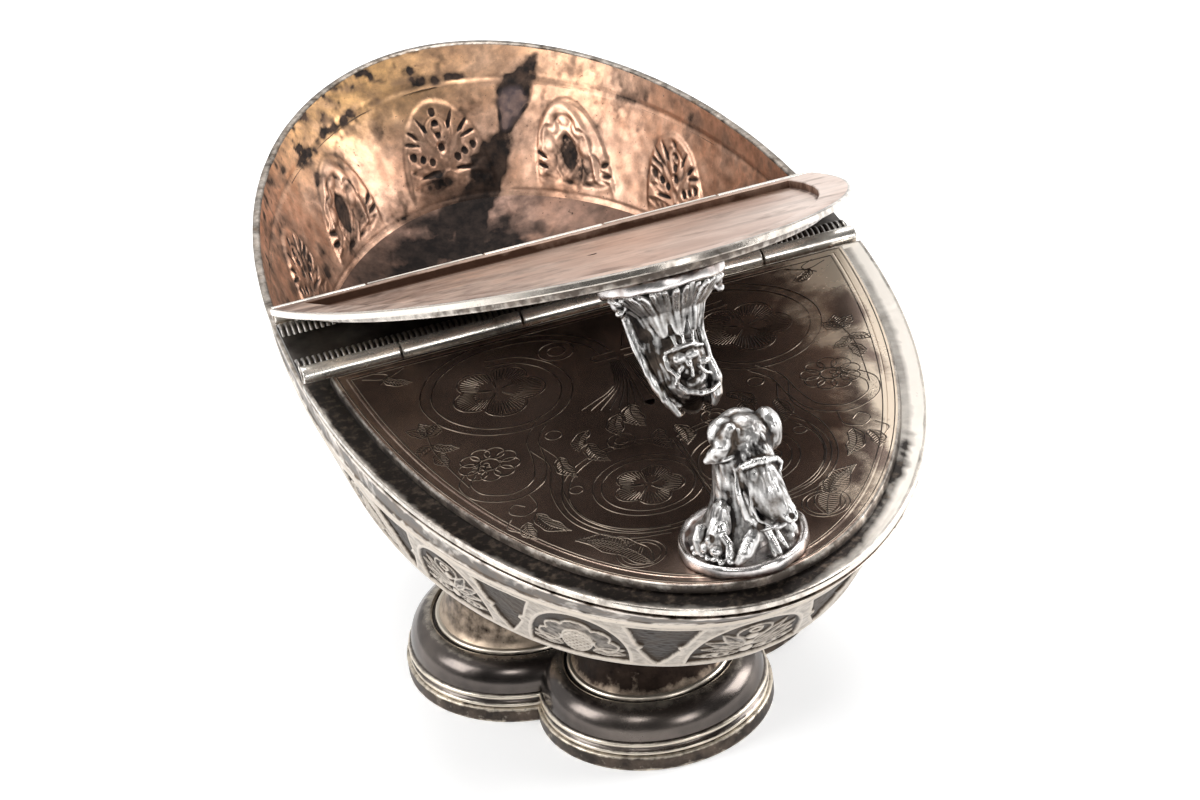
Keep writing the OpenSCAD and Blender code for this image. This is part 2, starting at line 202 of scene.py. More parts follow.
def fillMesh(name, points, faces, materials, slots=None, values=None, sharpAngle=None):
    points = np.asarray(points, np.float32).reshape(-1, 3) * mm
    faces = np.asarray(faces, np.int32)
    mesh = bpy.data.meshes.new(name)
    mesh.vertices.add(len(points))
    mesh.vertices.foreach_set("co", points.ravel())
    mesh.loops.add(faces.size)
    mesh.loops.foreach_set("vertex_index", faces.ravel())
    mesh.polygons.add(len(faces))
    mesh.polygons.foreach_set("loop_start", np.arange(0, faces.size, faces.shape[1], dtype=np.int32))
    for material in materials:
        mesh.materials.append(material)
    if slots is not None:
        mesh.polygons.foreach_set("material_index", np.asarray(slots, np.int32))
    for key, value in (values or {}).items():
        setValues(mesh, key, value)
    mesh.update(calc_edges=True)
    mesh.validate()
    mesh.shade_smooth()
    if sharpAngle:
        mesh.set_sharp_from_angle(angle=math.radians(sharpAngle))
    return mesh


def addPiece(name, mesh, body, slot, *nodes):
    piece = bpy.data.objects.new(name, mesh)
    scene.collection.objects.link(piece)
    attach(piece, body)
    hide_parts(*nodes)


def meshPoints(mesh):
    points = np.empty(len(mesh.vertices) * 3)
    mesh.vertices.foreach_get("co", points)
    return points.reshape(-1, 3)


def bakedMesh(carrier):
    mesh = bpy.data.meshes.new_from_object(carrier.evaluated_get(bpy.context.evaluated_depsgraph_get()))
    carrier.modifiers.clear()
    bpy.data.objects.remove(carrier)
    return mesh


# shader node groups shared by the finishes
def newGroup(name, inputs, outputs):
    tree = bpy.data.node_groups.new(name, "ShaderNodeTree")
    for label, value in inputs.items():
        tree.interface.new_socket(label, in_out="INPUT", socket_type="NodeSocketFloat").default_value = value
    for label in outputs:
        tree.interface.new_socket(label, in_out="OUTPUT", socket_type="NodeSocketFloat")
    return tree, tree.nodes.new("NodeGroupInput"), tree.nodes.new("NodeGroupOutput")


def seededNoise(tree, given, detail, rough):
    place = put(tree, "TexCoord")
    noise = put(tree, "TexNoise", {"Vector": place.outputs["Object"], "W": given.outputs["Seed"],
                                   "Scale": given.outputs["Scale"], "Detail": detail, "Roughness": rough},
                noise_dimensions="4D")
    return noise.outputs[0]


def calc(tree, operation, *values):
    return put(tree, "Math", dict(enumerate(values)), operation=operation).outputs[0]


def ranged(tree, value, low, high, least=0.0, most=1.0):
    return put(tree, "MapRange", {"Value": value, "From Min": low, "From Max": high, "To Min": least,
                                  "To Max": most}).outputs[0]


def meshValue(tree, name):
    return put(tree, "Attribute", attribute_name=name).outputs["Fac"]


def patchGroup():
    inputs = {"Scale": 100, "Low": 0.4, "High": 0.6, "Seed": 0}
    tree, given, out = newGroup("tarnishPatches", inputs, ["Mask"])
    noise = seededNoise(tree, given, 6.0, 0.62)
    mask = ranged(tree, noise, given.outputs["Low"], given.outputs["High"])
    tree.links.new(mask, out.inputs["Mask"])
    return tree


def speckleGroup():
    tree, given, out = newGroup("speckle", {"Scale": 1500, "Cover": 0.2, "Seed": 0}, ["Mask"])
    grain = seededNoise(tree, given, 3.0, 0.7)
    least = ranged(tree, given.outputs["Cover"], 0, 1, 0.75, 0.35)
    mask = ranged(tree, grain, least, calc(tree, "ADD", least, 0.08))
    tree.links.new(mask, out.inputs["Mask"])
    return tree


def brushedGroup():
    tree, given, out = newGroup("polishLines", {"Scale": 900, "Along": 0.08, "Upright": 1}, ["Height"])
    place = put(tree, "TexCoord")
    squeeze = put(tree, "CombineXYZ", {"X": given.outputs["Along"], "Y": 1.0, "Z": given.outputs["Upright"]})
    moved = put(tree, "VectorMath", {0: place.outputs["Object"], 1: squeeze.outputs[0]}, operation="MULTIPLY")
    lines = put(tree, "TexNoise", {"Vector": moved.outputs[0], "Scale": given.outputs["Scale"],
                                   "Detail": 4.0})
    tree.links.new(lines.outputs[0], out.inputs["Height"])
    return tree


patches, speckles, brushed = patchGroup(), speckleGroup(), brushedGroup()


def placeGroup(tree, group, inputs):
    return put(tree, "Group", inputs, node_tree=group).outputs[0]


def blendColor(tree, factor, first, second):
    mix = put(tree, "Mix", data_type="RGBA")
    for index, value in ((0, factor), (6, first), (7, second)):
        setSocket(tree, mix.inputs[index], (*value, 1) if isinstance(value, tuple) else value)
    return mix.outputs[2]


def newFinish(name):
    material = bpy.data.materials.new(name)
    material.use_nodes = True
    tree = material.node_tree
    shader = tree.nodes["Principled BSDF"]
    shader.inputs["Metallic"].default_value = 1.0
    return material, tree, shader


def closeFinish(tree, shader, color, rough, height, strength, depth):
    bump = put(tree, "Bump", {"Height": height, "Strength": strength, "Distance": depth})
    for key, value in (("Base Color", color), ("Roughness", rough), ("Normal", bump.outputs[0])):
        tree.links.new(value, shader.inputs[key])


# silver that is bright where it is worn and where light is painted on, and dark elsewhere: one attribute
# holds both the wear and the painted light and shade;
# each silver names what differs from the usual
usualSilver = {"tintScale": 260, "cover": (0.4, 0.7), "metal": 1.0, "grain": 1500, "lines": 1400,
               "depth": 0.0001, "along": 0.3, "upright": 1.0, "frayScale": 700, "fraySeed": 20,
               "pitShade": 0.75, "pitDepth": -0.6}
silverLooks = {
    "handleSilver": {"bright": (0.7, 0.685, 0.67), "dark": (0.024, 0.021, 0.02),
                     "tint": (0.15, 0.115, 0.09), "cover": (0.45, 0.7), "soft": 0.45,
                     "rough": (0.42, 0.25), "grain": 2600, "bump": 0.7, "depth": 0.00012, "lines": 3200,
                     "pits": 0.14, "along": 1.0, "upright": 0.14, "seed": 1},
    "plateSilver": {"bright": (0.8, 0.76, 0.74), "dark": (0.06, 0.05, 0.05), "tint": (0.3, 0.2, 0.16),
                    "tintScale": 300, "soft": 0.4, "rough": (0.4, 0.22), "grain": 2600, "bump": 0.2,
                    "pits": 0.2, "seed": 13},
    "friezeSilver": {"bright": (0.56, 0.495, 0.425), "dark": (0.03, 0.022, 0.017),
                     "tint": (0.088, 0.067, 0.051), "soft": 0.5, "rough": (0.5, 0.34), "grain": 2400,
                     "bump": 0.3, "pits": 0.3, "along": 0.4, "seed": 2},
    "bandSilver": {"bright": (0.72, 0.65, 0.58), "dark": (0.045, 0.033, 0.024),
                   "tint": (0.16, 0.118, 0.085), "tintScale": 500, "cover": (0.42, 0.64), "soft": 0.4,
                   "rough": (0.4, 0.3), "bump": 0.3, "pits": 0.32, "along": 0.2, "seed": 3},
    "lidSilver": {"bright": (0.95, 0.79, 0.62), "dark": (0.14, 0.098, 0.08), "tint": (0.36, 0.26, 0.21),
                  "tintScale": 42, "cover": (0.36, 0.66), "soft": 0.3, "rough": (0.16, 0.2), "metal": 0.85,
                  "wornAndLitMetal": 0.6, "bump": 0.12, "pits": 0.12, "along": 0.1, "seed": 4},
    "marginSilver": {"bright": (0.8, 0.74, 0.67), "dark": (0.02, 0.016, 0.014),
                     "tint": (0.11, 0.084, 0.065), "tintScale": 1100, "cover": (0.5, 0.7), "soft": 0.15,
                     "rough": (0.36, 0.3), "metal": 0.9, "grain": 1900, "bump": 0.15, "pits": 0.16,
                     "seed": 5},
    "footSilver": {"bright": (0.76, 0.68, 0.57), "dark": (0.09, 0.078, 0.072), "tint": (0.2, 0.17, 0.15),
                   "tintScale": 70, "soft": 0.35, "rough": (0.2, 0.3), "metal": 0.95, "grain": 1900,
                   "bump": 0.12, "pits": 0.1, "along": 0.2, "seed": 6},
    "stripSilver": {"bright": (0.68, 0.6, 0.49), "dark": (0.045, 0.037, 0.032), "tint": (0.13, 0.1, 0.08),
                    "tintScale": 420, "cover": (0.38, 0.66), "soft": 0.8, "rough": (0.42, 0.34),
                    "metal": 0.95, "bump": 0.3, "pits": 0.35, "seed": 15},
    # the neck's silver is near black: painted shade under the bowl, shared by the underbody
    "shadedNeckSilver": {"bright": (0.42, 0.33, 0.25), "dark": (0.008, 0.005, 0.004),
                   "tint": (0.035, 0.023, 0.017), "tintScale": 330, "cover": (0.36, 0.62), "soft": 0.5,
                   "rough": (0.44, 0.34), "metal": 0.95, "grain": 1300, "bump": 0.3, "pits": 0.28,
                   "along": 0.4, "seed": 7},
    "hingeSilver": {"bright": (1.0, 0.95, 0.87), "dark": (0.16, 0.13, 0.11), "tint": (0.6, 0.52, 0.43),
                    "cover": (0.42, 0.7), "soft": 0.5, "rough": (0.36, 0.22), "metal": 0.75, "bump": 0.12,
                    "pits": 0.15, "along": 0.06, "seed": 8},
    "edgeSilver": {"bright": (0.72, 0.66, 0.59), "dark": (0.1, 0.082, 0.07), "tint": (0.36, 0.3, 0.25),
                   "tintScale": 500, "cover": (0.5, 0.75), "soft": 0.6, "rough": (0.36, 0.24),
                   "grain": 1800, "bump": 0.12, "pits": 0.15, "along": 0.2, "seed": 14},
    "reedSilver": {"bright": (0.6, 0.57, 0.53), "dark": (0.07, 0.063, 0.058), "tint": (0.2, 0.18, 0.165),
                   "tintScale": 200, "soft": 0.3, "rough": (0.38, 0.26), "bump": 0.1, "pits": 0.12,
                   "along": 1.0, "seed": 9},
    # the engraved lines in lighter silver and their dark copies: painted light and shade on the two walls of
    # a cut
    "litLineSilver": {"bright": (0.7, 0.62, 0.53), "dark": (0.34, 0.27, 0.21), "tint": (0.55, 0.45, 0.36),
                   "tintScale": 120, "cover": (0.4, 0.65), "soft": 0.2, "rough": (0.3, 0.28), "bump": 0.05,
                   "pits": 0.05, "along": 1.0, "seed": 10},
    "cutSilver": {"bright": (0.1, 0.08, 0.06), "dark": (0.02, 0.015, 0.012), "tint": (0.06, 0.045, 0.035),
                  "tintScale": 120, "cover": (0.4, 0.65), "soft": 0.2, "rough": (0.5, 0.5), "metal": 0.8,
                  "bump": 0.05, "pits": 0.05, "along": 1.0, "seed": 16},
}


def silverFinish(name):
    look = {**usualSilver, **silverLooks[name]}
    seed = look["seed"]
    material, tree, shader = newFinish(name)
    low, high = look["cover"]
    stained = placeGroup(tree, patches, {"Scale": look["tintScale"], "Low": low, "High": high, "Seed": seed})
    pitted = placeGroup(tree, speckles, {"Scale": look["grain"], "Cover": look["pits"], "Seed": seed})
    frayed = placeGroup(tree, patches, {"Scale": look["frayScale"], "Low": 0.25, "High": 0.75,
                                        "Seed": seed + look["fraySeed"]})
    spread = calc(tree, "SUBTRACT", frayed, 0.5)
    ragged = calc(tree, "MULTIPLY_ADD", spread, look["soft"], meshValue(tree, "wearAndLight"))
    wornAndLit = ranged(tree, ragged, 0.25, 0.75)
    metal = ranged(tree, wornAndLit, 0, 1, look["metal"], look.get("wornAndLitMetal", look["metal"]))
    tree.links.new(metal, shader.inputs["Metallic"])
    ground = blendColor(tree, stained, look["dark"], look["tint"])
    color = blendColor(tree, wornAndLit, ground, look["bright"])
    color = blendColor(tree, calc(tree, "MULTIPLY", pitted, look["pitShade"]), color, look["dark"])
    rough = calc(tree, "MULTIPLY_ADD", stained, 0.1, ranged(tree, wornAndLit, 0, 1, *look["rough"]))
    lines = placeGroup(tree, brushed, {"Scale": look["lines"], "Along": look["along"],
                                       "Upright": look["upright"]})
    height = calc(tree, "MULTIPLY_ADD", pitted, look["pitDepth"], lines)
    closeFinish(tree, shader, color, rough, height, look["bump"], look["depth"])
    return material


# rose gilding inside the bowl and under the lids
giltLooks = {
    "bowlGilt": {"rose": (0.74, 0.42, 0.275), "amber": (0.78, 0.46, 0.2), "pale": (0.86, 0.56, 0.41),
                 "grime": (0.15, 0.095, 0.07), "stainAndShade": (0.026, 0.022, 0.021), "mauve": (0.14, 0.11, 0.12),
                 "rough": 0.42, "pits": 0.3, "bump": 0.35, "scuffs": 0.22, "smears": 0.7, "mottle": 0.55,
                 "clouds": 120, "seed": 11},
    "lidGilt": {"rose": (0.47, 0.29, 0.21), "amber": (0.42, 0.27, 0.2), "pale": (0.7, 0.55, 0.46),
                "grime": (0.24, 0.14, 0.095), "stainAndShade": (0.085, 0.045, 0.03), "mauve": (0.3, 0.2, 0.16),
                "rough": 0.36, "pits": 0.16, "bump": 0.15, "scuffs": 0.5, "smears": 0.5, "mottle": 0.15,
                "clouds": 60, "seed": 12},
}
# the bowl's floor takes the gilding in much darker tones: painted shade deep in the bowl
floorShadeTones = {"rose": (0.17, 0.098, 0.07), "pale": (0.21, 0.13, 0.1), "grime": (0.05, 0.036, 0.03),
              "stainAndShade": (0.013, 0.011, 0.0105)}
giltLooks["floorGilt"] = {**giltLooks["bowlGilt"], **floorShadeTones}


def giltFinish(name):
    look = giltLooks[name]
    seed = look["seed"]
    material, tree, shader = newFinish(name)
    cloudy = placeGroup(tree, patches, {"Scale": look["clouds"], "Low": 0.4, "High": 0.68, "Seed": seed})
    smeared = placeGroup(tree, patches, {"Scale": 120, "Low": 0.46, "High": 0.7, "Seed": seed + 1})
    blotch = placeGroup(tree, patches, {"Scale": 170, "Low": 0.3, "High": 0.7, "Seed": seed + 2})
    mottle = placeGroup(tree, patches, {"Scale": 480, "Low": 0.4, "High": 0.66, "Seed": seed + 3})
    pitted = placeGroup(tree, speckles, {"Scale": 1500, "Cover": look["pits"], "Seed": seed})
    strokes = placeGroup(tree, brushed, {"Scale": 380, "Along": 0.07, "Upright": 1.0})
    mottled = calc(tree, "MULTIPLY", mottle, look["mottle"])
    gold = blendColor(tree, cloudy, look["rose"], look["pale"])
    layers = [(meshValue(tree, "amber"), "amber"), (calc(tree, "MULTIPLY", smeared, look["smears"]), "grime"),
              (ranged(tree, strokes, 0.53, 0.68, 0, look["scuffs"]), "pale"),
              (ranged(tree, strokes, 0.45, 0.3, 0, look["scuffs"]), "grime"), (mottled, "grime"),
              (calc(tree, "MULTIPLY", meshValue(tree, "wearAndLight"), 0.8), "pale")]
    for share, tone in layers:
        gold = blendColor(tree, share, gold, look[tone])
    # the soot tone darkens both real stains and painted shade
    soot = blendColor(tree, mottled, look["stainAndShade"], look["grime"])
    spread = calc(tree, "SUBTRACT", blotch, 0.5)
    ragged = calc(tree, "MULTIPLY_ADD", spread, 0.9, meshValue(tree, "stainAndShade"))
    dirt = calc(tree, "MAXIMUM", ranged(tree, ragged, 0.1, 0.8), calc(tree, "MULTIPLY", pitted, 0.8))
    color = blendColor(tree, dirt, gold, soot)
    color = blendColor(tree, meshValue(tree, "mauve"), color, look["mauve"])
    rough = calc(tree, "MULTIPLY_ADD", dirt, 0.22, look["rough"])
    height = calc(tree, "MULTIPLY_ADD", pitted, -0.6, strokes)
    closeFinish(tree, shader, color, rough, height, look["bump"], 0.0001)
    return material


finish = {name: silverFinish(name) for name in silverLooks}
finish.update({name: giltFinish(name) for name in giltLooks})
print("finishes made:", len(finish))


# oval of the boat, in millimetres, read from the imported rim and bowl
oval = {"sideExp": 2 / 1.95, "tipExp": 2 / 2.19, "wall": 1.2, "bandIn": (0.5, 6.0), "friezeHigh": 14.5,
        "friezeIn": (4.5, 13.0), "floorHalf": (21.0, 31.0), "underExp": 1.6}
rimLow, rimHigh = (np.array(corner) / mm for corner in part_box("rim_band"))
rimHalf = rimHigh[:2]
rimZ, bandZ = rimHigh[2], rimLow[2]
friezeZ = bandZ - oval["friezeHigh"]
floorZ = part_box("bowl_shell")[0].z / mm
bandHalf = rimHalf - oval["bandIn"]
friezeHalf = bandHalf - oval["friezeIn"]


def ovalRing(half, t):
    c, s = np.cos(t), np.sin(t)
    x = half[0] * np.sign(c) * np.abs(c) ** oval["sideExp"]
    y = half[1] * np.sign(s) * np.abs(s) ** oval["tipExp"]
    return np.stack([x, y], -1)


def arcAngles(shares):
    t = np.linspace(0, 2 * np.pi, 7201)
    ring = ovalRing((bandHalf + friezeHalf) / 2, t)
    run = pathRun(ring)
    return np.interp(shares, run / run[-1], t)


def wallHalf(z, inset=0.0):
    low = np.clip((z - floorZ - inset) / (friezeZ - floorZ - inset), 0, 1) ** (1 / oval["underExp"])
    mid = np.clip((z - friezeZ) / (bandZ - friezeZ), 0, 1)
    high = np.clip((z - bandZ) / (rimZ - bandZ), 0, 1)
    floorHalf = np.array(oval["floorHalf"])
    return (floorHalf + (friezeHalf - floorHalf) * low + (bandHalf - friezeHalf) * mid
            + (rimHalf - bandHalf) * high - inset)


def wallGrid(heights, angles, inset=0.0):
    return np.array([atHeight(ovalRing(wallHalf(z, inset), angles), z) for z in heights])


def gridNormals(points):
    across = np.gradient(points, axis=1)
    up = np.gradient(points, axis=0)
    normal = np.cross(across, up)
    return normal / np.linalg.norm(normal, axis=2, keepdims=True)


# frieze of strap arches: sizes in millimetres on one arch, x from its middle and y from the lower border
arch = {"count": 16, "span": 23.06, "high": 15.5, "border": 1.2, "top": 13.9, "relief": 0.42, "motif": 0.4,
        "sink": 0.25, "fieldHalf": 7.6, "cuspY": 7.2, "cuspHalf": 3.0, "topHalf": 4.6, "columns": 1000,
        "rows": 90}


# the frieze seen from inside, on the same arch: dots and slots of one motif, almond and bosses of the other
reverse = {"dots": [(0, 12.4), (0, 10.8), (0, 9.1), (0, 7.6), (2.2, 6.0), (3.6, 6.6), (5.2, 7.3)],
           "slots": [((3.0, 8.9), (6.4, 12.0)), ((3.2, 8.4), (7.4, 9.8)), ((1.6, 9.6), (3.3, 12.6)),
                     ((1.2, 4.6), (5.6, 4.2))],
           "almond": (1.0, 6.6, 1.9, 3.2), "bosses": [(0, 11.3), (2.5, 9.9), (3.5, 7.4)], "arch": (5.0, 9.6),
           "loops": [((5.2, 5.2), (8.0, 6.6)), ((5.2, 3.9), (8.2, 4.6)), ((0.6, 2.2), (3.6, 2.4))]}


def leafShape(x, y, foot, angle, length, width):
    c, s = math.cos(math.radians(angle)), math.sin(math.radians(angle))
    along = (x - foot[0]) * c + (y - foot[1]) * s
    aside = (y - foot[1]) * c - (x - foot[0]) * s
    share = np.clip(along / length, 0, 1)
    edge = width * np.sin(np.pi * share ** 0.75)
    inside = edge - np.abs(aside)
    inside = np.where((along < 0) | (along > length), -1, inside)
    return inside, aside


def leafRelief(x, y, foot, angle, length, width):
    inside, aside = leafShape(x, y, foot, angle, length, width)
    body = 0.45 * smoothStep(0, 0.3, inside) + 0.55 * ridge(inside - 0.12, 0.16)
    return body - 0.3 * ridge(aside, 0.16) * smoothStep(0.2, 0.4, inside)


def bead(x, y, place, radius):
    gap = np.hypot(x - place[0], y - place[1])
    return np.sqrt(np.clip(1 - (gap / radius) ** 2, 0, 1))


def circleLine(x, y, place, radius, width):
    return ridge(np.hypot(x - place[0], y - place[1]) - radius, width)


def lotusRelief(x, y):
    x = np.abs(x)
    parts = [leafRelief(x, y, (0.5, 4.4), angle, length, width)
             for angle, length, width in ((58, 7.2, 1.1), (33, 7.0, 1.15), (10, 6.2, 0.95))]
    parts += [leafRelief(x, y, (0.8, 2.5), 6, 6.6, 0.9), 0.8 * circleLine(x, y, (0, 9.6), 2.2, 0.2)]
    parts += [bead(x, y, (0, h), r) for h, r in ((3.0, 1.1), (5.2, 0.85), (7.6, 0.95))]
    parts += [0.9 * circleLine(x, y, (0, 10.2), 0.75, 0.25)]
    parts += [0.9 * bead(x, y, (2.6 + 1.5 * i, 2.7 + 0.15 * i), 0.5) for i in range(3)]
    return np.max(parts, axis=0)


def coneRelief(x, y):
    x = np.abs(x)
    lobes = [((0, 9.4), 2.3), ((2.9, 7.8), 2.1), ((4.3, 5.2), 1.9)]
    outer = np.max([r - np.hypot(x - cx, y - cy) for (cx, cy), r in lobes], axis=0)
    heart = 1 - np.hypot(x / 2.3, (y - 5.3) / 3.3)
    weave = np.maximum(ridge((x + y) % 1.1 - 0.55, 0.18), ridge((y - x) % 1.1 - 0.55, 0.18))
    parts = [ridge(outer - 0.15, 0.17), 0.4 * smoothStep(0, 0.4, outer) * (heart < 0)]
    parts += [smoothStep(0, 0.1, heart) * (0.45 + 0.55 * weave), ridge(heart * 2.5, 0.2)]
    parts += [leafRelief(x, y, (2.2, 2.7), angle, length, 0.95) for angle, length in ((22, 5.4), (4, 5.6))]
    return np.max(parts, axis=0)


def slot(x, y, start, end, width):
    run = np.array(end) - np.array(start)
    angle = math.degrees(math.atan2(run[1], run[0]))
    inside, _ = leafShape(x, y, start, angle, math.hypot(*run), width)
    return smoothStep(-0.1, 0.25, inside)


def backRelief(x, y, field, lotus):
    aside = np.abs(x)
    dots = [bead(aside, y, place, 0.62) for place in reverse["dots"]]
    slots = [slot(aside, y, start, end, 0.34) for start, end in reverse["slots"]]
    cx, cy, wide, high = reverse["almond"]
    almond = 1 - np.abs((x - cx) / wide) - ((y - cy) / high) ** 2
    loops = [slot(aside, y, start, end, 0.38) for start, end in reverse["loops"]]
    bosses = [bead(np.abs(x - cx), y, place, 1.3) for place in reverse["bosses"]]
    inner = np.hypot((x - cx) / reverse["arch"][0], (y - 3.0) / reverse["arch"][1])
    lines = np.where(lotus, lotusRelief(x, y), coneRelief(x - cx, y))
    sunk = np.where(lotus, np.max(dots + slots, axis=0),
                    np.max([0.8 * smoothStep(0, 0.4, almond)] + loops, axis=0))
    raised = np.where(lotus, 0, np.max(bosses + [ridge((inner - 1) * 5, 0.5) * (y > 3)], axis=0))
    pad = smoothStep(-0.3, 0.3, field) * smoothStep(arch["border"] - 0.2, arch["border"] + 2.5, y)
    return {"pad": pad, "lines": lines * pad, "sunk": sunk * pad, "raised": raised * pad * (sunk < 0.3)}


def friezeRelief(shares, heights):
    along = shares[None, :] * arch["count"]
    number = np.round(along).astype(int)
    x = (along - number) * arch["span"] + 0 * heights[:, None]
    y = heights[:, None] * arch["high"] + 0 * along
    half = arch["span"] / 2
    lower = arch["cuspHalf"] * np.clip((y - arch["border"]) / (arch["cuspY"] - arch["border"]), 0, 1) ** 0.85
    rise = np.clip((y - arch["cuspY"]) / (arch["top"] - arch["cuspY"]), 0, 1) ** 1.3
    opening = lower + (arch["topHalf"] - arch["cuspHalf"]) * rise - 0.8 * ridge(y - arch["cuspY"], 0.55)
    spandrel = np.minimum(opening - (half - np.abs(x)), arch["top"] - y)
    spandrel = np.where(y < arch["border"], -1, spandrel)
    reach = np.hypot(x / arch["fieldHalf"], (y - arch["border"]) / (arch["top"] - arch["border"]))
    field = np.where(y < arch["border"], -1, (1 - reach) * arch["fieldHalf"])
    sunk = np.maximum(smoothStep(-0.12, 0.14, spandrel), smoothStep(-0.12, 0.14, field))
    rims = np.maximum(ridge(spandrel + 0.32, 0.16), ridge(field + 0.32, 0.16)) * (y > arch["border"] + 0.1)
    motif = np.where(number % 2 == 0, lotusRelief(x, y), coneRelief(x, y)) * smoothStep(0.1, 0.5, field)
    bands = ridge(y - 0.3, 0.2) + ridge(y - 0.95, 0.18) + ridge(y - arch["high"] + 0.35, 0.25)
    height = arch["relief"] * (1 - sunk) + 0.1 * rims + arch["motif"] * motif + 0.1 * bands
    wearAndLight = (1 - sunk) * 0.6 + 0.5 * rims + 1.05 * np.clip(motif, 0, 1) ** 1.2 + 0.4 * bands
    return height, wearAndLight, smoothStep(0, 0.3, spandrel), backRelief(x, y, field, number % 2 == 0)


def makeFrieze():
    heights = np.linspace(0, 1, arch["rows"] + 1)
    for name, start in (("friezeRear", 0.0), ("friezeFront", 0.5)):
        shares = np.linspace(start, start + 0.5, arch["columns"] + 1)
        points = wallGrid(friezeZ + heights * oval["friezeHigh"], arcAngles(shares))
        height, wearAndLight, matted, _ = friezeRelief(shares, heights)
        grain = latticeNoise(points, 0.45, 3)
        height = height + 0.07 * grain * matted + 0.03 * latticeNoise(points, 2.5, 4)
        fade = smoothStep(0, 0.03, heights) * smoothStep(0, 0.03, 1 - heights)
        lifted = points + gridNormals(points) * ((height - arch["sink"]) * fade[:, None])[..., None]
        wearAndLight = np.clip(wearAndLight + 0.25 * grain * matted, 0, 1)
        faces = gridFaces(*height.shape, False)
        mesh = fillMesh(name, lifted, faces, [finish["friezeSilver"]], values={"wearAndLight": wearAndLight})
        addPiece(name, mesh, "boat", "gilt_silver", "bowl_shell")
    print("frieze made")


# rounded underbody, inner wall with the frieze in reverse, and the rim band
under = {"columns": 480, "rows": 26}
inside = {"columns": 1800, "bandRows": 12, "friezeRows": 80, "floorRows": 40, "floorStep": 4, "deep": 0.6,
          "stainPlace": (-2.5, 52.0), "stainHalf": (14.0, 17.0),
          "streak": [(17.6, 76.7, 57.2, 0.3), (15.4, 75.6, 54.8, 1.7), (13.2, 75.2, 52.6, 2.8),
                     (10.2, 72.8, 47.8, 0.8), (9.2, 72.0, 46.2, 1.9), (6.2, 70.4, 43.0, 2.7),
                     (2.2, 66.6, 39.0, 2.4), (0.0, 62.4, 37.0, 1.4)],
          "bud": [(12.6, 74.8, 51.2, 2.5), (10.5, 73.1, 48.0, 0.7)]}
band = {"columns": 720, "bead": 0.45, "lip": 0.25, "rearShare": 0.85}


def middleRow(z, angles):
    return np.zeros((1, len(angles), 3)) + (0, 0, z)


def makeUnderbody():
    angles = arcAngles(np.arange(under["columns"]) / under["columns"])
    shares = np.linspace(0, 1, under["rows"] + 1)
    heights = floorZ + (friezeZ - floorZ) * shares ** oval["underExp"]
    points = np.concatenate([middleRow(floorZ, angles), wallGrid(heights, angles)])
    edge = np.concatenate([[0], smoothStep(0.9, 1.0, shares)])[:, None] + 0 * angles
    # the underbody takes the neck's dark silver: painted shade under the bowl
    mesh = fillMesh("bowlUnder", points, gridFaces(len(points), len(angles), True), [finish["shadedNeckSilver"]],
                    values={"wearAndLight": 0.2 + 0.6 * edge})
    addPiece("bowlUnder", mesh, "boat", "gilt_silver", "bowl_shell")


def chainGap(points, chain):
    path = np.array(chain)
    gaps = []
    for first, last in zip(path[:-1], path[1:]):
        a, b = first[:3], last[:3]
        f = np.clip((points - a) @ (b - a) / np.dot(b - a, b - a), 0, 1)
        reach = first[3] + (last[3] - first[3]) * f
        gaps.append(np.linalg.norm(points - a - f[..., None] * (b - a), axis=-1) - reach)
    return np.min(gaps, axis=0)


# dark marks on the inner wall and floor: a streak with a mauve patch near its top, blots and a dark line at
# the band, a dark pool on the floor, and darker tones to the left rear and under the rim at the rear tip
def stainShades(points):
    x, y, z = np.moveaxis(points, 2, 0)
    fine, mid = latticeNoise(points, 1.1, 24), latticeNoise(points, 4.2, 23)
    streak = 1.3 * smoothStep(0.9, -0.5, chainGap(points, inside["streak"]) + 0.45 * fine)
    bud = chainGap(points, inside["bud"])
    mauve = 0.6 * smoothStep(0.5, -0.9, bud + 0.5 * fine)
    left = 0.2 + 0.8 * smoothStep(12, -6, x)
    rim = smoothStep(bandZ - 2.5, bandZ + 1.0, z) * smoothStep(-5, 40, y) * left
    blots = 0.7 * rim * smoothStep(0.1, 1.0, mid + 1.2 * fine)
    line = ridge(z - bandZ - 0.8, 0.6) * smoothStep(12, 6, x) * smoothStep(-30, -18, x)
    line *= (y > 0) * (0.7 + fine + mid)
    place = np.linalg.norm((points[..., :2] - inside["stainPlace"]) / inside["stainHalf"], axis=2)
    pool = smoothStep(1.25, 0.6, place + 0.3 * mid + 0.15 * fine) * smoothStep(45, 41, z)
    pool *= 0.85 + 0.45 * mid + 0.3 * fine
    dusk = 0.18 * smoothStep(-6, -20, x) * smoothStep(0, 30, y)
    dusk += 0.16 * smoothStep(70, 82, y) * smoothStep(54, 57, z) * smoothStep(14, 2, x)
    stainAndShade = np.maximum(streak * (0.75 + 0.3 * mid), np.maximum(blots, line)) + pool + dusk
    stainAndShade = np.maximum(stainAndShade, 1.2 * ridge(bud, 0.5) * smoothStep(52.5, 50.5, z)) * (1 - 0.75 * mauve)
    return stainAndShade, mauve


def blurred(values, passes):
    for _ in range(passes):
        values = (np.roll(values, 1, 1) + np.roll(values, -1, 1) + 2 * values) / 4
        padded = np.pad(values, ((1, 1), (0, 0)), mode="edge")
        values = (padded[2:] + padded[:-2] + 2 * values) / 4
    return values


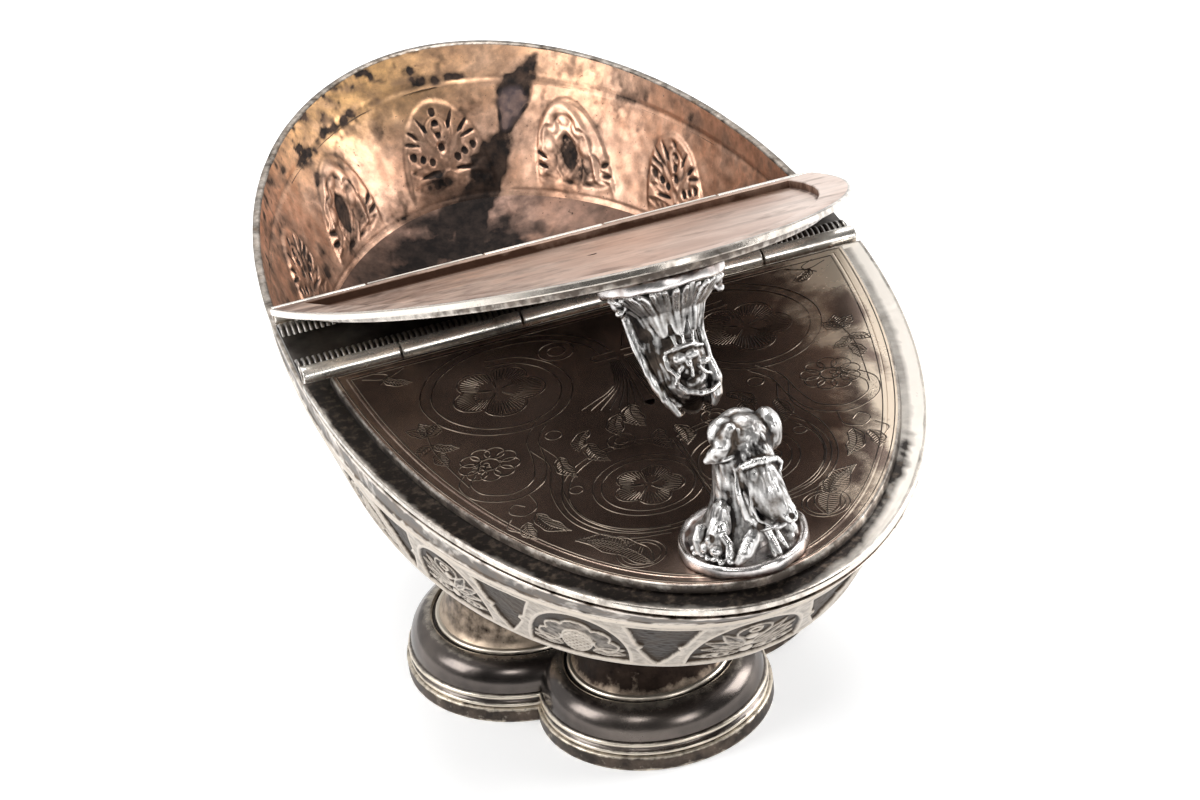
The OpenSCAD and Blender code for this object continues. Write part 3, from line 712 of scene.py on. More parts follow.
def makeInside():
    shares = np.arange(inside["columns"]) / inside["columns"]
    friezeRows = np.linspace(0, 1, inside["friezeRows"] + 1)
    bandHeights = np.linspace(bandZ, rimZ - 0.2, inside["bandRows"] + 1)[1:]
    heights = np.concatenate([friezeZ + friezeRows * (bandZ - friezeZ), bandHeights])
    points = wallGrid(heights, arcAngles(shares), oval["wall"])
    _, _, _, back = friezeRelief(shares, friezeRows)
    above = ((0, len(bandHeights)), (0, 0))
    sunk, raised, lines, pad = (np.pad(back[key], above) for key in ("sunk", "raised", "lines", "pad"))
    relief = blurred(0.5 * sunk + 0.45 * lines - 0.5 * raised - 0.6 * pad, 1)
    dents = latticeNoise(points, 6, 8) * 0.16 + latticeNoise(points, 1.6, 9) * 0.07
    shift = relief * inside["deep"] + dents
    shift *= (smoothStep(friezeZ, friezeZ + 0.8, heights) * smoothStep(bandZ + 1.2, bandZ, heights))[:, None]
    beads = 0.15 * ridge(heights - bandZ - 0.6, 0.3) + 0.1 * ridge(heights - friezeZ - 0.7, 0.25)
    shift += beads[:, None]
    pressed = points + gridNormals(points) * shift[..., None]
    crease = np.clip(blurred(shift, 12) - shift, -0.2, 0.2) / 0.2
    x, y, z = np.moveaxis(points, 2, 0)
    stainAndShade, mauve = stainShades(points)
    stainAndShade += np.clip(-crease * 0.55, 0, 1) + 0.8 * sunk * (1 + 0.5 * latticeNoise(points, 1.5, 26))
    stainAndShade += 0.25 * lines * (1 + latticeNoise(points, 2.2, 29))
    stainAndShade += 0.3 * smoothStep(0.1, 0.6, latticeNoise(points, 2.6, 27) + 0.5 * latticeNoise(points, 0.9, 28))
    amber = smoothStep(50, 80, y) * smoothStep(46, 56, z) * (0.3 + 0.7 * smoothStep(12, -8, x))
    wearAndLight = np.clip(crease * 0.4 + 0.45 * raised, 0, 1)
    shades = {"stainAndShade": stainAndShade, "amber": amber, "wearAndLight": wearAndLight, "mauve": mauve}
    half = inside["columns"] // 2
    faces = gridFaces(len(relief), half + 1, False)[:, ::-1]
    for name, start in (("bowlInsideRear", 0), ("bowlInsideFront", half)):
        columns = np.arange(start, start + half + 1) % inside["columns"]
        values = {key: value[:, columns] for key, value in shades.items()}
        mesh = fillMesh(name, pressed[:, columns], faces, [finish["bowlGilt"]], values=values)
        addPiece(name, mesh, "boat", "gilt_silver", "bowl_shell")


def makeBowlFloor():
    angles = arcAngles(np.arange(0, inside["columns"], inside["floorStep"]) / inside["columns"])
    shares = np.linspace(0, 1, inside["floorRows"] + 1)
    floorTop = floorZ + oval["wall"]
    heights = floorTop + (friezeZ - floorTop) * shares ** oval["underExp"]
    points = np.concatenate([middleRow(floorTop, angles), wallGrid(heights, angles, oval["wall"])])
    stainAndShade, mauve = stainShades(points)
    stainAndShade += 0.25 * smoothStep(0.0, 0.6, latticeNoise(points, 3.2, 27) + 0.5 * latticeNoise(points, 0.9, 28))
    faces = gridFaces(len(points), len(angles), True)[:, ::-1]
    mesh = fillMesh("bowlFloor", points, faces, [finish["floorGilt"]],
                    values={"stainAndShade": stainAndShade, "mauve": mauve})
    addPiece("bowlFloor", mesh, "boat", "gilt_silver", "bowl_shell")


def makeBand():
    angles = arcAngles(np.arange(band["columns"]) / band["columns"])
    wall, low, lip = oval["wall"], bandZ + band["bead"], band["lip"]
    profile = [(wall, bandZ, 0), (0.15, bandZ, 0.3), (-0.05, bandZ + 0.15, 0.62), (-0.05, low, 0.6),
               (0.12, low + 0.2, 0.24), (0.1, bandZ + 1.2, 0.2), (0.08, rimZ - 1.4, 0.2),
               (0.0, rimZ - 0.5, 0.38), (0.02, rimZ - lip, 0.7), (0.1, rimZ - 0.06, 0.7), (lip, rimZ, 0.55),
               (wall - lip, rimZ, 0.5), (wall - 0.06, rimZ - 0.08, 0.45), (wall, rimZ - lip, 0.3)]
    points = np.array([wallGrid([z], angles, inset)[0] for inset, z, _ in profile])
    bright = np.array([shine for _, _, shine in profile])[:, None]
    wave = 0.05 * latticeNoise(points, 4, 5)
    outward = points / np.linalg.norm(points * (1, 1, 0), axis=2, keepdims=True) * (1, 1, 0)
    keep = np.minimum(wave, 0)[..., None] * outward
    chips = 0.4 * latticeNoise(points, 3.0, 6) + 0.35 * latticeNoise(points, 0.8, 7)
    wearAndLight = bright + chips * (bright > 0.1)
    rear = band["rearShare"] * smoothStep(-20, 25, points[..., 1])
    wearAndLight = (1 - rear) * wearAndLight + rear * (0.12 + 0.5 * bright)
    mesh = fillMesh("rimBand", points + keep, gridFaces(len(points), len(angles), True),
                    [finish["bandSilver"]], values={"wearAndLight": wearAndLight})
    addPiece("rimBand", mesh, "boat", "bright_silver", "rim_band")


makeFrieze()
makeUnderbody()
makeInside()
makeBowlFloor()
makeBand()
print("bowl made")


# four-lobed foot: distance and radius of its lobes, then inset, height and wear along the mouldings
foot = {"side": (13.1, 18.1), "end": (20.3, 17.0), "columns": 90,
        "strip": [(1.7, 0.0, 0.2), (0.25, 0.0, 0.4), (0.0, 0.25, 0.5), (0.0, 0.6, 0.12), (0.0, 1.9, 0.12),
                  (0.0, 2.15, 0.5), (0.18, 2.35, 0.75), (0.6, 2.4, 0.4), (1.7, 2.4, 0.1)],
        "shell": [(1.6, 2.4, 0.1), (0.62, 2.4, 0.5), (0.5, 2.5, 0.9), (0.5, 2.75, 0.9), (0.62, 2.9, 0.4),
                  (1.05, 3.05, 0.0), (1.15, 3.3, 0.0), (1.0, 3.6, 0.1), (0.62, 3.72, 0.7), (0.5, 3.85, 1.0),
                  (0.5, 4.05, 1.0), (0.62, 4.25, 0.7), (1.0, 4.4, 0.1)],
        "ovolo": (4.4, 4.2, 3.4, 12),
        "ledge": [(4.42, 8.55, 0.9), (4.6, 8.5, 0.6), (4.75, 8.2, 0.0), (5.05, 8.2, 0.0), (5.15, 8.6, 0.7),
                  (5.3, 8.85, 1.0), (5.45, 8.9, 1.0)],
        "inner": [(5.4, 7.4, 0.0), (3.6, 6.9, 0.0), (2.2, 4.4, 0.0), (2.2, 2.4, 0.0)],
        "roof": 7.4, "lip": 0.8, "neckIn": 5.8, "waist": 1.4, "neckWall": 1.6, "neckRows": 40,
        "fillRadius": 14.0}


def footRing(inset, columns):
    (sideD, sideR), (endD, endR) = foot["side"], foot["end"]
    sideR, endR = sideR - inset, endR - inset
    apart = math.hypot(sideD, endD)
    along = (apart ** 2 + sideR ** 2 - endR ** 2) / (2 * apart)
    off = math.sqrt(max(sideR ** 2 - along ** 2, 0))
    ux, uy = -sideD / apart, endD / apart
    cusp = np.array([sideD + ux * along + uy * off, uy * along - ux * off])
    sideTurn = math.atan2(cusp[1], cusp[0] - sideD)
    endTurn = math.atan2(cusp[1] - endD, cusp[0])
    share = np.arange(columns) / columns
    arcs = []
    for quarter in range(4):
        if quarter % 2 == 0:
            turn = -sideTurn + 2 * sideTurn * share
            arc = np.column_stack([sideD + sideR * np.cos(turn), sideR * np.sin(turn)])
        else:
            turn = endTurn + (np.pi - 2 * endTurn) * share
            arc = np.column_stack([endR * np.cos(turn), endD + endR * np.sin(turn)])
        arcs.append(arc if quarter < 2 else -arc)
    return np.concatenate(arcs)


def neckRing(inset, draw):
    ring = footRing(inset, foot["columns"])
    reach = np.hypot(*ring.T)
    return ring * ((np.maximum(reach, foot["fillRadius"]) - draw) / reach)[:, None]


def footRows(rows):
    points = [atHeight(footRing(inset, foot["columns"]), z) for inset, z, _ in rows]
    return points, [np.full(len(points[0]), bright) for _, _, bright in rows]


def footMesh(name, points, wearAndLight, material):
    points, wearAndLight = np.array(points), np.array(wearAndLight)
    fray = 0.15 * latticeNoise(points, 5, 12) + 0.15 * latticeNoise(points, 0.8, 13)
    wearAndLight = wearAndLight + fray * (0.3 + wearAndLight)
    faces = gridFaces(len(points), points.shape[1], True)
    return fillMesh(name, points, faces, [finish[material]], values={"wearAndLight": wearAndLight}, sharpAngle=50)


def makeFoot():
    points, wearAndLight = footRows(foot["strip"] + foot["strip"][:1])
    mesh = footMesh("footStrip", points, wearAndLight, "stripSilver")
    addPiece("footStrip", mesh, "boat", "dark_silver", "base_strip")
    z, high, draw, steps = foot["ovolo"]
    curve = [(1.0 + draw * (1 - math.cos(a)), z + high * math.sin(a), 0.5 * math.sin(a) ** 8)
             for a in (math.pi / 2 * k / steps for k in range(1, steps + 1))]
    points, wearAndLight = footRows(foot["inner"] + foot["shell"] + curve + foot["ledge"])
    hole = neckRing(foot["neckIn"], foot["neckWall"] + foot["lip"])
    roof, top = atHeight(hole, foot["roof"]), atHeight(hole, foot["ledge"][-1][1])
    points = [roof] + points + [top, roof]
    unworn = np.zeros(len(hole))
    wearAndLight = [unworn] + wearAndLight + [unworn, unworn]
    mesh = footMesh("footShell", points, wearAndLight, "footSilver")
    addPiece("footShell", mesh, "boat", "dark_silver", "foot_shell")


def neckRow(f, low, draw):
    ring = neckRing(foot["neckIn"] + foot["waist"] * math.sin(math.pi * f ** 0.6), 0)
    turn = np.arctan2(ring[:, 1], ring[:, 0])
    floorHalf = np.array(oval["floorHalf"]) - oval["wall"]
    top = 1 / np.hypot(np.cos(turn) / floorHalf[0], np.sin(turn) / floorHalf[1])
    radius = np.hypot(*ring.T) * (1 - f ** 2.5) + top * f ** 2.5 - draw
    return atHeight(np.column_stack([radius * np.cos(turn), radius * np.sin(turn)]), low + (floorZ - low) * f)


def makeNeck():
    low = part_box("neck")[0].z / mm
    steps = np.linspace(0, 1, foot["neckRows"] + 1)
    points = [neckRow(f, low, 0) for f in steps] + [neckRow(f, low, foot["neckWall"]) for f in steps[::-4]]
    points = np.array(points + points[:1])
    share = (points[..., 2] - low) / (floorZ - low)
    fray = 0.3 * latticeNoise(points, 4, 14) + 0.2 * latticeNoise(points, 0.8, 15)
    # painted light and shade: the neck is painted lit low down, more so on the left, and dark at the top in
    # the bowl's shadow; the fray noise is wear
    left = smoothStep(-9, -18, points[..., 0])
    lit = smoothStep(0.4 + 0.5 * left, 0.05, share)
    wearAndLight = (0.1 + 0.44 * left) * lit + fray * (0.1 + 0.5 * lit)
    wearAndLight += smoothStep(0.06, 0.0, share) * 0.3
    mesh = fillMesh("neck", points, gridFaces(len(points), points.shape[1], True), [finish["shadedNeckSilver"]],
                    values={"wearAndLight": wearAndLight}, sharpAngle=50)
    addPiece("neckSleeve", mesh, "boat", "dark_silver", "neck")


makeFoot()
makeNeck()
print("foot made")


# hinges and lids, in millimetres; the front lid's pieces carry over to the rear lid, and the last number
# in a row of the lid picks its sheet
pinLow, pinHigh = (np.array(corner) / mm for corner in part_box("front_hinge_pin"))
hinge = {"y": -(pinLow[1] + pinHigh[1]) / 2, "z": (pinLow[2] + pinHigh[2]) / 2, "half": pinHigh[0],
         "openDeg": 156.0, "ends": 13.9, "middle": 17.8, "gap": 0.25, "radius": 1.3, "pin": 0.6, "around": 40,
         "play": 0.05, "edge": 0.14, "offset": 1.6}
lid = {"gap": 0.4, "thick": 1.0, "rise": 1.2, "margin": 3.4, "hingeMargin": 2.2, "round": 220, "straight": 70,
       "middle": (0.0, -40.0), "middleInset": 9,
       "sheets": ("lidGilt", "edgeSilver", "marginSilver", "lidSilver")}
lidZ = rimZ + lid["gap"]
panelZ = lidZ + lid["thick"] + lid["rise"]


def onRear(points):
    points = np.asarray(points, float).reshape(-1, 3) * (-1, -1, 1)
    a = math.radians(hinge["openDeg"])
    y, z = points[:, 1] - hinge["y"], points[:, 2] - hinge["z"]
    return np.column_stack([points[:, 0], hinge["y"] + y * math.cos(a) - z * math.sin(a),
                            hinge["z"] + y * math.sin(a) + z * math.cos(a)])


def asIs(points):
    return np.asarray(points, float).reshape(-1, 3)


def lidLoop(inset, edgeIn):
    half = rimHalf - inset
    straightY = hinge["y"] + hinge["offset"] + edgeIn
    start = math.asin((straightY / half[1]) ** (1 / oval["tipExp"]))
    t = np.linspace(np.pi + start, 2 * np.pi - start, 2000)
    curve = ovalRing(half, t)
    run = pathRun(curve)
    t = np.interp(np.linspace(0, run[-1], lid["round"]), run, t)
    curve = ovalRing(half, t)
    share = np.linspace(0, 1, lid["straight"] + 2)[1:-1, None]
    return np.concatenate([curve, curve[-1] + (curve[0] - curve[-1]) * share])


def lidRows():
    deep, step = lid["margin"] + oval["wall"], lid["hingeMargin"] + oval["wall"]
    m, h, t, top = lid["margin"], lid["hingeMargin"], lid["thick"], lid["thick"] + lid["rise"]
    # under rows with a brightness below nought are painted shade on the step round the recess; makeLid turns
    # them into darkening
    under = [(deep + 0.7, step + 0.7, lid["rise"], 0.0, 0), (deep + 0.3, step + 0.3, lid["rise"], -0.7, 0),
             (deep + 0.05, step + 0.05, lid["rise"] - 0.1, -0.9, 0),
             (deep - 0.05, step - 0.05, 0.15, -0.5, 0), (deep - 0.3, step - 0.3, 0.0, 0.6, 0),
             (0.45, 0.4, 0.0, 0.3, 0), (0.12, 0.1, 0.05, 1.0, 1)]
    edge = [(0.0, 0.0, 0.2, 1.0, 1), (0.0, 0.0, t - 0.2, 1.0, 1), (0.12, 0.1, t - 0.04, 0.9, 1)]
    margin = [(0.4, 0.3, t, 0.55, 1), (0.8, 0.6, t - 0.03, 0.25, 2), (1.6, 1.1, t - 0.04, 0.1, 2),
              (m - 0.9, h - 0.7, t - 0.04, 0.0, 2), (m - 0.05, h - 0.05, t, 0.0, 2)]
    panel = [(m, h, t + 0.15, 0.0, 2), (m + 0.04, h + 0.04, top - 0.35, 0.4, 1),
             (m + 0.14, h + 0.12, top - 0.1, 0.6, 1), (m + 0.35, h + 0.3, top, 0.5, 1),
             (m + 0.62, h + 0.55, top, 0.2, 3), (m + 1.7, h + 1.5, top, 0.0, 3),
             (m + 1.78, h + 1.57, top - 0.07, 0.0, 3), (m + 1.9, h + 1.68, top, 0.35, 3),
             (m + 2.1, h + 1.9, top, 0.0, 3)]
    return under, edge + margin + panel


def lidGrid():
    under, outer = lidRows()
    rings, wearAndLight, kinds, insets = [], [], [], []
    middle = np.array(lid["middle"])

    def addRing(loop, z, bright, kind, inset):
        rings.append(atHeight(loop, lidZ + z))
        wearAndLight.append(np.full(len(loop), bright))
        kinds.append(kind)
        insets.append(inset)

    inner = lidLoop(*under[0][:2])
    for f in (0.02, 0.2, 0.4, 0.6, 0.8, 0.95):
        addRing(middle + (inner - middle) * f, under[0][2], 0.0, 0, lid["middleInset"])
    for inset, edgeIn, z, bright, kind in under + outer:
        addRing(lidLoop(inset, edgeIn), z, bright, kind, inset)
    inner = lidLoop(*outer[-1][:2])
    for f in np.linspace(0.97, 0.02, 22):
        addRing(middle + (inner - middle) * f, outer[-1][2], 0.0, 3, lid["middleInset"])
    return np.array(rings), np.array(wearAndLight), np.array(kinds)[:, None], np.array(insets)[:, None]


def makeLid(name, place, body, node):
    points, wearAndLight, kinds, insets = lidGrid()
    gilt, edge, margin, panel = (kinds == k for k in range(len(lid["sheets"])))
    x, y, _ = np.moveaxis(points, 2, 0)
    coarse, fine = latticeNoise(points, 4, 31), latticeNoise(points, 0.9, 32)
    waves = latticeNoise(points * (1, 0.6, 1), 7, 34)
    sheenStreaks = latticeNoise(points * (1, 0.22, 1), 2.6, 35)
    # random tarnish patches, and painted shade on the recess step where a row's brightness is below nought
    stainAndShade = 0.3 * smoothStep(0.4, 0.9, latticeNoise(points, 9, 33)) + np.maximum(-wearAndLight, 0)
    # painted shade: the gilding under the lid is darker towards the left
    stainAndShade += 0.5 * gilt * smoothStep(0, 26, x * (1 if place is onRear else -1))
    # painted light: towards the right the margin and panel are painted brighter, with streaks and a sheen on
    # the outer flank, and the edges darker on the left, for reflected light from the right; the noise and
    # blots are tarnish and wear
    rightLit = smoothStep(-4, 28, x)
    wearAndLight = np.maximum(wearAndLight, 0) + (0.25 * coarse + 0.15 * fine) * np.where(margin, 0.6 - 0.35 * rightLit, 1)
    wearAndLight += margin * rightLit * (0.4 * smoothStep(2.2, 1.3, insets + 0.1 * fine) + 0.46)
    blots = smoothStep(0.05, 0.6, latticeNoise(points, 5, 36) + 0.5 * fine)
    wearAndLight -= margin * rightLit * 0.36 * blots * smoothStep(-16, -50, y)
    wearAndLight += panel * smoothStep(14, 36, x) * (0.45 + 0.35 * waves + 0.35 * sheenStreaks)
    outward = np.hypot(x / rimHalf[0], y / rimHalf[1])
    flankSheen = smoothStep(0.62, 0.84, outward) * smoothStep(6, 26, x)
    wearAndLight += panel * flankSheen * (0.3 + 0.5 * sheenStreaks)
    wearAndLight *= np.where(edge, 0.62 + 0.38 * rightLit, 1)
    points[..., 2] += 0.03 * waves * panel * (insets == lid["middleInset"])
    cols = points.shape[1]
    slots = np.repeat(kinds[1:, 0], cols)
    sheets = [finish[k] for k in lid["sheets"]]
    faces = gridFaces(len(points), cols, True)
    mesh = fillMesh(name, place(points), faces, sheets, slots, {"wearAndLight": wearAndLight, "stainAndShade": stainAndShade}, sharpAngle=35)
    addPiece(name, mesh, body, "engraved_silver", node)


boxFaces = np.array([(0, 1, 3, 2), (4, 6, 7, 5), (0, 4, 5, 1), (2, 3, 7, 6), (0, 2, 6, 4), (1, 5, 7, 3)])


def knuckleMesh(name, place, first, leafY, leafZ, leafT, bore):
    seams = [hinge["half"], hinge["half"] - hinge["ends"], hinge["middle"] / 2]
    seams = [-x for x in seams] + seams[::-1]
    turn = np.linspace(0, 2 * np.pi, hinge["around"], endpoint=False)
    e, r, axis = hinge["edge"], hinge["radius"], (-hinge["y"], hinge["z"])
    points, faces, wearAndLight = [], [], []
    count = 0
    for k in range(first, len(seams) - 1, 2):
        x0 = seams[k] + hinge["gap"] / 2
        x1 = seams[k + 1] - hinge["gap"] / 2
        profile = [(x0, bore, 0.0), (x0, r - e, 0.4), (x0 + e * 0.4, r - e * 0.2, 0.8), (x0 + e, r, 0.9)]
        profile += [(x, r, 0.75) for x in np.linspace(x0 + 2 * e, x1 - 2 * e, 8)]
        profile += [(x1 - e, r, 0.9), (x1 - e * 0.4, r - e * 0.2, 0.8), (x1, r - e, 0.4), (x1, bore, 0.0)]
        profile.append(profile[0])
        rows = np.array([aboutX(x, axis, q, turn) for x, q, _ in profile])
        points.append(rows.reshape(-1, 3))
        wearAndLight.append(np.repeat([w for _, _, w in profile], len(turn)))
        faces.append(gridFaces(len(profile), len(turn), True)[:, ::-1] + count)
        count += rows.size // 3
        low, high = sorted((axis[0] + 0.4 * math.copysign(1, leafY), axis[0] + leafY))
        box = np.array([(x, y, z) for x in (x0, x1) for y in (low, high) for z in (leafZ, leafZ + leafT)])
        points.append(box)
        wearAndLight.append(np.full(len(box), 0.3))
        faces.append(boxFaces + count)
        count += len(box)
    points, wearAndLight = np.concatenate(points), np.concatenate(wearAndLight)
    wearAndLight = wearAndLight + 0.3 * latticeNoise(points, 3, 41) + 0.15 * latticeNoise(points, 0.7, 42)
    return fillMesh(name, place(points), np.concatenate(faces), [finish["hingeSilver"]],
                    values={"wearAndLight": wearAndLight}, sharpAngle=40)


def turned(points):
    return asIs(points) * (-1, -1, 1)


def makeHinges():
    off, pin = hinge["offset"], hinge["pin"]
    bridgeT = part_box("bridge_plate")[1].z / mm - rimZ
    for name, place, node in (("frontBridgeKnuckles", asIs, "front_bridge_knuckles"),
                              ("rearBridgeKnuckles", turned, "rear_bridge_knuckles")):
        addPiece(name, knuckleMesh(name, place, 0, off, rimZ, bridgeT, pin), "boat", "bright_silver", node)
    for name, place, body in (("front", asIs, "front_lid"), ("rear", onRear, "rear_lid")):
        mesh = knuckleMesh(name + "LidKnuckles", place, 1, -off, lidZ, lid["thick"], pin + hinge["play"])
        addPiece(name + "LidKnuckles", mesh, body, "bright_silver", name + "_lid_knuckles")
    for node in ("front_hinge_pin", "rear_hinge_pin", "bridge_plate"):
        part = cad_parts[node]
        part.data.materials.clear()
        part.data.materials.append(finish["hingeSilver" if "pin" in node else "reedSilver"])


makeLid("frontLid", asIs, "front_lid", "front_lid_plate")
makeLid("rearLid", onRear, "rear_lid", "rear_lid_plate")
makeHinges()
print("lids and hinges made")


# scrolls engraved on the lids, in millimetres on the right half, mirrored to the left;
# a rosette is five fans, each with its reach and its number of lines
scrolls = {"line": 0.07, "cut": 0.1, "shift": (0.05, 0.12), "lineSink": 0.03, "cutSink": 0.045, "dot": 0.09,
           "dotSink": 0.06, "band": 1.5, "step": 0.45, "seed": 5, "density": 6, "fanTurn": (270, 72),
           "fanSpread": 66, "borders": [(0.75, 0.7), (2.4, 2.2)],
           "tendrils": [[(1.6, -25), (3.2, -21), (7.5, -17.4), (13, -16), (19, -16.8), (24.3, -20.6),
                         (26.8, -26.5), (25.6, -32.6), (21.5, -37), (16, -38.2), (11, -35.6), (8.6, -30.5),
                         (9.3, -25.3), (12.6, -21.3), (17, -20.2)],
                        [(14.5, -38.4), (16.6, -42), (17.2, -47), (18.6, -51.6), (22.3, -53.7), (26.2, -52),
                         (27.4, -48.6), (26, -46)],
                        [(16.8, -44), (15.6, -49), (17.3, -56), (16.6, -63), (12.6, -68.4), (7, -70)]],
           "strokes": [[(20.6, -53.8), (20.4, -57.2), (22.4, -58.6), (24, -57.2), (23, -55.6), (21.8, -56.6)],
                       [(28.6, -33.5), (28.9, -38), (28.2, -43), (27, -49)],
                       [(24, -58.4), (25.2, -60.4), (24, -62)], [(3.4, -25.4), (0, -25.4)],
                       [(3.4, -27), (0, -27)], [(3.4, -25.4), (3.9, -26.2), (3.4, -27)],
                       [(33, -16), (30, -17.2), (27, -15.6)], [(31, -18.5), (29.5, -16.5), (31.5, -15)]],
           "rings": [(6.4, -59, 5.9), (6.4, -59, 7.0), (6.4, -59, 10.0), (6.4, -59, 10.9), (14.9, -55.9, 0.9),
                     (11.9, -73.4, 3.0), (11.9, -73.4, 2.4), (7.4, -21.6, 2.4), (7.4, -21.6, 1.2),
                     (6.3, -47.5, 1.8), (6.3, -47.5, 0.9), (13.8, -42, 1.1)],
           "rosettes": [(17.3, -27.6, 0.8, [(6.8, 15), (6.4, 15), (6.2, 13), (6.2, 13), (6.4, 15)]),
                        (6.4, -59, 0.5, [(4.8, 11), (4.6, 11), (4.5, 11), (4.5, 11), (4.6, 11)])],
           "leaves": [(11.2, -76, 52, 11, 1.9), (13, -71.4, 40, 7, 1.3), (21, -58.8, 243, 6.4, 1.2),
                      (22.6, -60.2, 268, 4.2, 1.0), (28.9, -34.6, 128, 3.4, 1.0), (28.9, -34.6, 90, 3.8, 1.0),
                      (28.9, -34.6, 52, 3.4, 1.0), (28.6, -37, 215, 3.6, 0.9), (28.6, -37, 325, 3.0, 0.9),
                      (28.2, -39, 268, 3.8, 1.0), (2.6, -39.5, 268, 6.0, 1.5), (4.6, -41, 285, 5.6, 1.2),
                      (10.4, -46, 255, 5.6, 1.2), (1.2, -47, 268, 5.4, 1.1), (9.4, -43, 300, 5.2, 1.0),
                      (30.4, -17.4, 215, 4.2, 0.9), (14.6, -47.5, 262, 5.6, 1.1)],
           "bunches": [(23.2, -44.8, 2.7, 9), (24.3, -45.2, 0.9, 5)],
           "sheaf": {"from": (0.3, -28), "to": -40.5, "count": 8, "spread": 9.0}}


def smoothPath(points, step):
    p = np.array(points, float)
    p = np.concatenate([[2 * p[0] - p[1]], p, [2 * p[-1] - p[-2]]])
    out = []
    for a, b, c, d in zip(p[:-3], p[1:-2], p[2:-1], p[3:]):
        t = np.linspace(0, 1, max(2, int(np.linalg.norm(c - b) / step)), endpoint=False)[:, None]
        out.append(b + 0.5 * t * (c - a + t * (2 * a - 5 * b + 4 * c - d + t * (3 * b - 3 * c + d - a))))
    return np.concatenate(out + [p[-2:-1]])


def besidePath(path, gap):
    run = np.gradient(path, axis=0)
    run /= np.linalg.norm(run, axis=1, keepdims=True)
    return path + gap * np.column_stack([-run[:, 1], run[:, 0]])


def ringPath(x, y, radius, step):
    turn = np.linspace(0, 2 * np.pi, max(10, int(2 * np.pi * radius / step)))
    return np.column_stack([x + radius * np.cos(turn), y + radius * np.sin(turn)])


def fanPaths(x, y, angle, spread, low, high, count):
    paths, tips = [], []
    for k in range(count):
        f = 2 * k / (count - 1) - 1
        turn = math.radians(angle + f * spread / 2)
        aim = np.array([math.cos(turn), math.sin(turn)])
        reach = high * (1 - 0.22 * f * f)
        start = low if k in (0, count - 1) else reach * (0.45 + 0.1 * (k % 2))
        paths.append(np.array([(x, y) + aim * start, (x, y) + aim * reach * 0.92]))
        tips.append((x, y) + aim * reach)
    return paths + [smoothPath(tips, 0.5)]


def leafPaths(x, y, angle, length, width):
    turn = math.radians(angle)
    aim = np.array([math.cos(turn), math.sin(turn)])
    side = np.array([-aim[1], aim[0]])
    f = np.linspace(0, 1, max(6, int(length / 0.4)))
    bulge = width * np.sin(np.pi * f ** 0.8) * (1 + 0.18 * np.sin(f * 12))
    bend = 0.12 * length * np.sin(np.pi * f)
    spine = np.array([x, y]) + np.outer(f * length, aim) + np.outer(bend, side)
    paths = [spine + np.outer(bulge, side), spine - np.outer(bulge, side), spine[:-2]]
    for k in range(1, len(f) - 2):
        paths.append(np.array([spine[k], spine[k] + 0.8 * bulge[k] * side + 0.5 * aim]))
        paths.append(np.array([spine[k], spine[k] - 0.8 * bulge[k] * side + 0.5 * aim]))
    return paths


def bunchPaths(x, y, r, count):
    turns = [2 * math.pi * k / count for k in range(count)]
    paths = [ringPath(x + r * math.cos(turn), y + r * math.sin(turn), r * 0.48, 0.3) for turn in turns]
    return paths + [ringPath(x, y, r * 0.5, 0.3)]


def sheafPaths(step):
    sheaf = scrolls["sheaf"]
    x, y = sheaf["from"]
    shares = [(k + 0.5) / sheaf["count"] for k in range(sheaf["count"])]
    return [smoothPath([(x + 1.5 * f, y), (x + 0.35 * f * sheaf["spread"], y - 6),
                        (x + f * sheaf["spread"], sheaf["to"] + 3 * f * f)], step) for f in shares]


def scrollPaths(middles):
    step, band = scrolls["step"], scrolls["band"]
    paths = [besidePath(path, gap) for path in middles for gap in (band / 2, -band / 2)]
    paths += [smoothPath(points, step) for points in scrolls["strokes"]]
    paths += [ringPath(x, y, r, step) for x, y, r in scrolls["rings"]]
    firstTurn, nextTurn = scrolls["fanTurn"]
    for x, y, low, fans in scrolls["rosettes"]:
        for k, (high, count) in enumerate(fans):
            paths += fanPaths(x, y, (firstTurn + nextTurn * k) % 360, scrolls["fanSpread"], low, high, count)
    for leaf in scrolls["leaves"]:
        paths += leafPaths(*leaf)
    for bunch in scrolls["bunches"]:
        paths += bunchPaths(*bunch)
    paths += sheafPaths(step)
    both = []
    for path in paths:
        keep = path[path[:, 0] > 0.05] if len(path) > 2 else path
        if len(keep) > 1:
            both += [keep, keep * (-1, 1)]
    for inset, edgeIn in scrolls["borders"]:
        loop = lidLoop(lid["margin"] + inset, lid["hingeMargin"] + edgeIn)
        both.append(np.concatenate([loop, loop[:1]]))
    return both


def stippleDots(middles):
    rng = np.random.default_rng(scrolls["seed"])
    dots = []
    for path in middles:
        spots = np.repeat(path, scrolls["density"], axis=0)
        sides = np.repeat(besidePath(path, 1.0) - path, scrolls["density"], axis=0)
        spots = spots + rng.uniform(-0.2, 0.2, spots.shape)
        dots.append(spots + sides * rng.uniform(-0.4, 0.4, (len(spots), 1)) * scrolls["band"])
    dots = np.concatenate(dots)
    return np.concatenate([dots, dots * (-1, 1)])


def nodeTool(name):
    tree = bpy.data.node_groups.new(name, "GeometryNodeTree")
    tree.interface.new_socket("Geometry", in_out="INPUT", socket_type="NodeSocketGeometry")
    tree.interface.new_socket("Geometry", in_out="OUTPUT", socket_type="NodeSocketGeometry")
    return tree, tree.nodes.new("NodeGroupInput"), tree.nodes.new("NodeGroupOutput")


def toolInput(tree, label, kind, value):
    socket = tree.interface.new_socket(label, in_out="INPUT", socket_type="NodeSocket" + kind)
    socket.default_value = value
    return socket.identifier


def geo(tree, kind, **links):
    node = tree.nodes.new("GeometryNode" + kind)
    for key, value in links.items():
        setSocket(tree, node.inputs[key.replace("_", " ")], value)
    return node


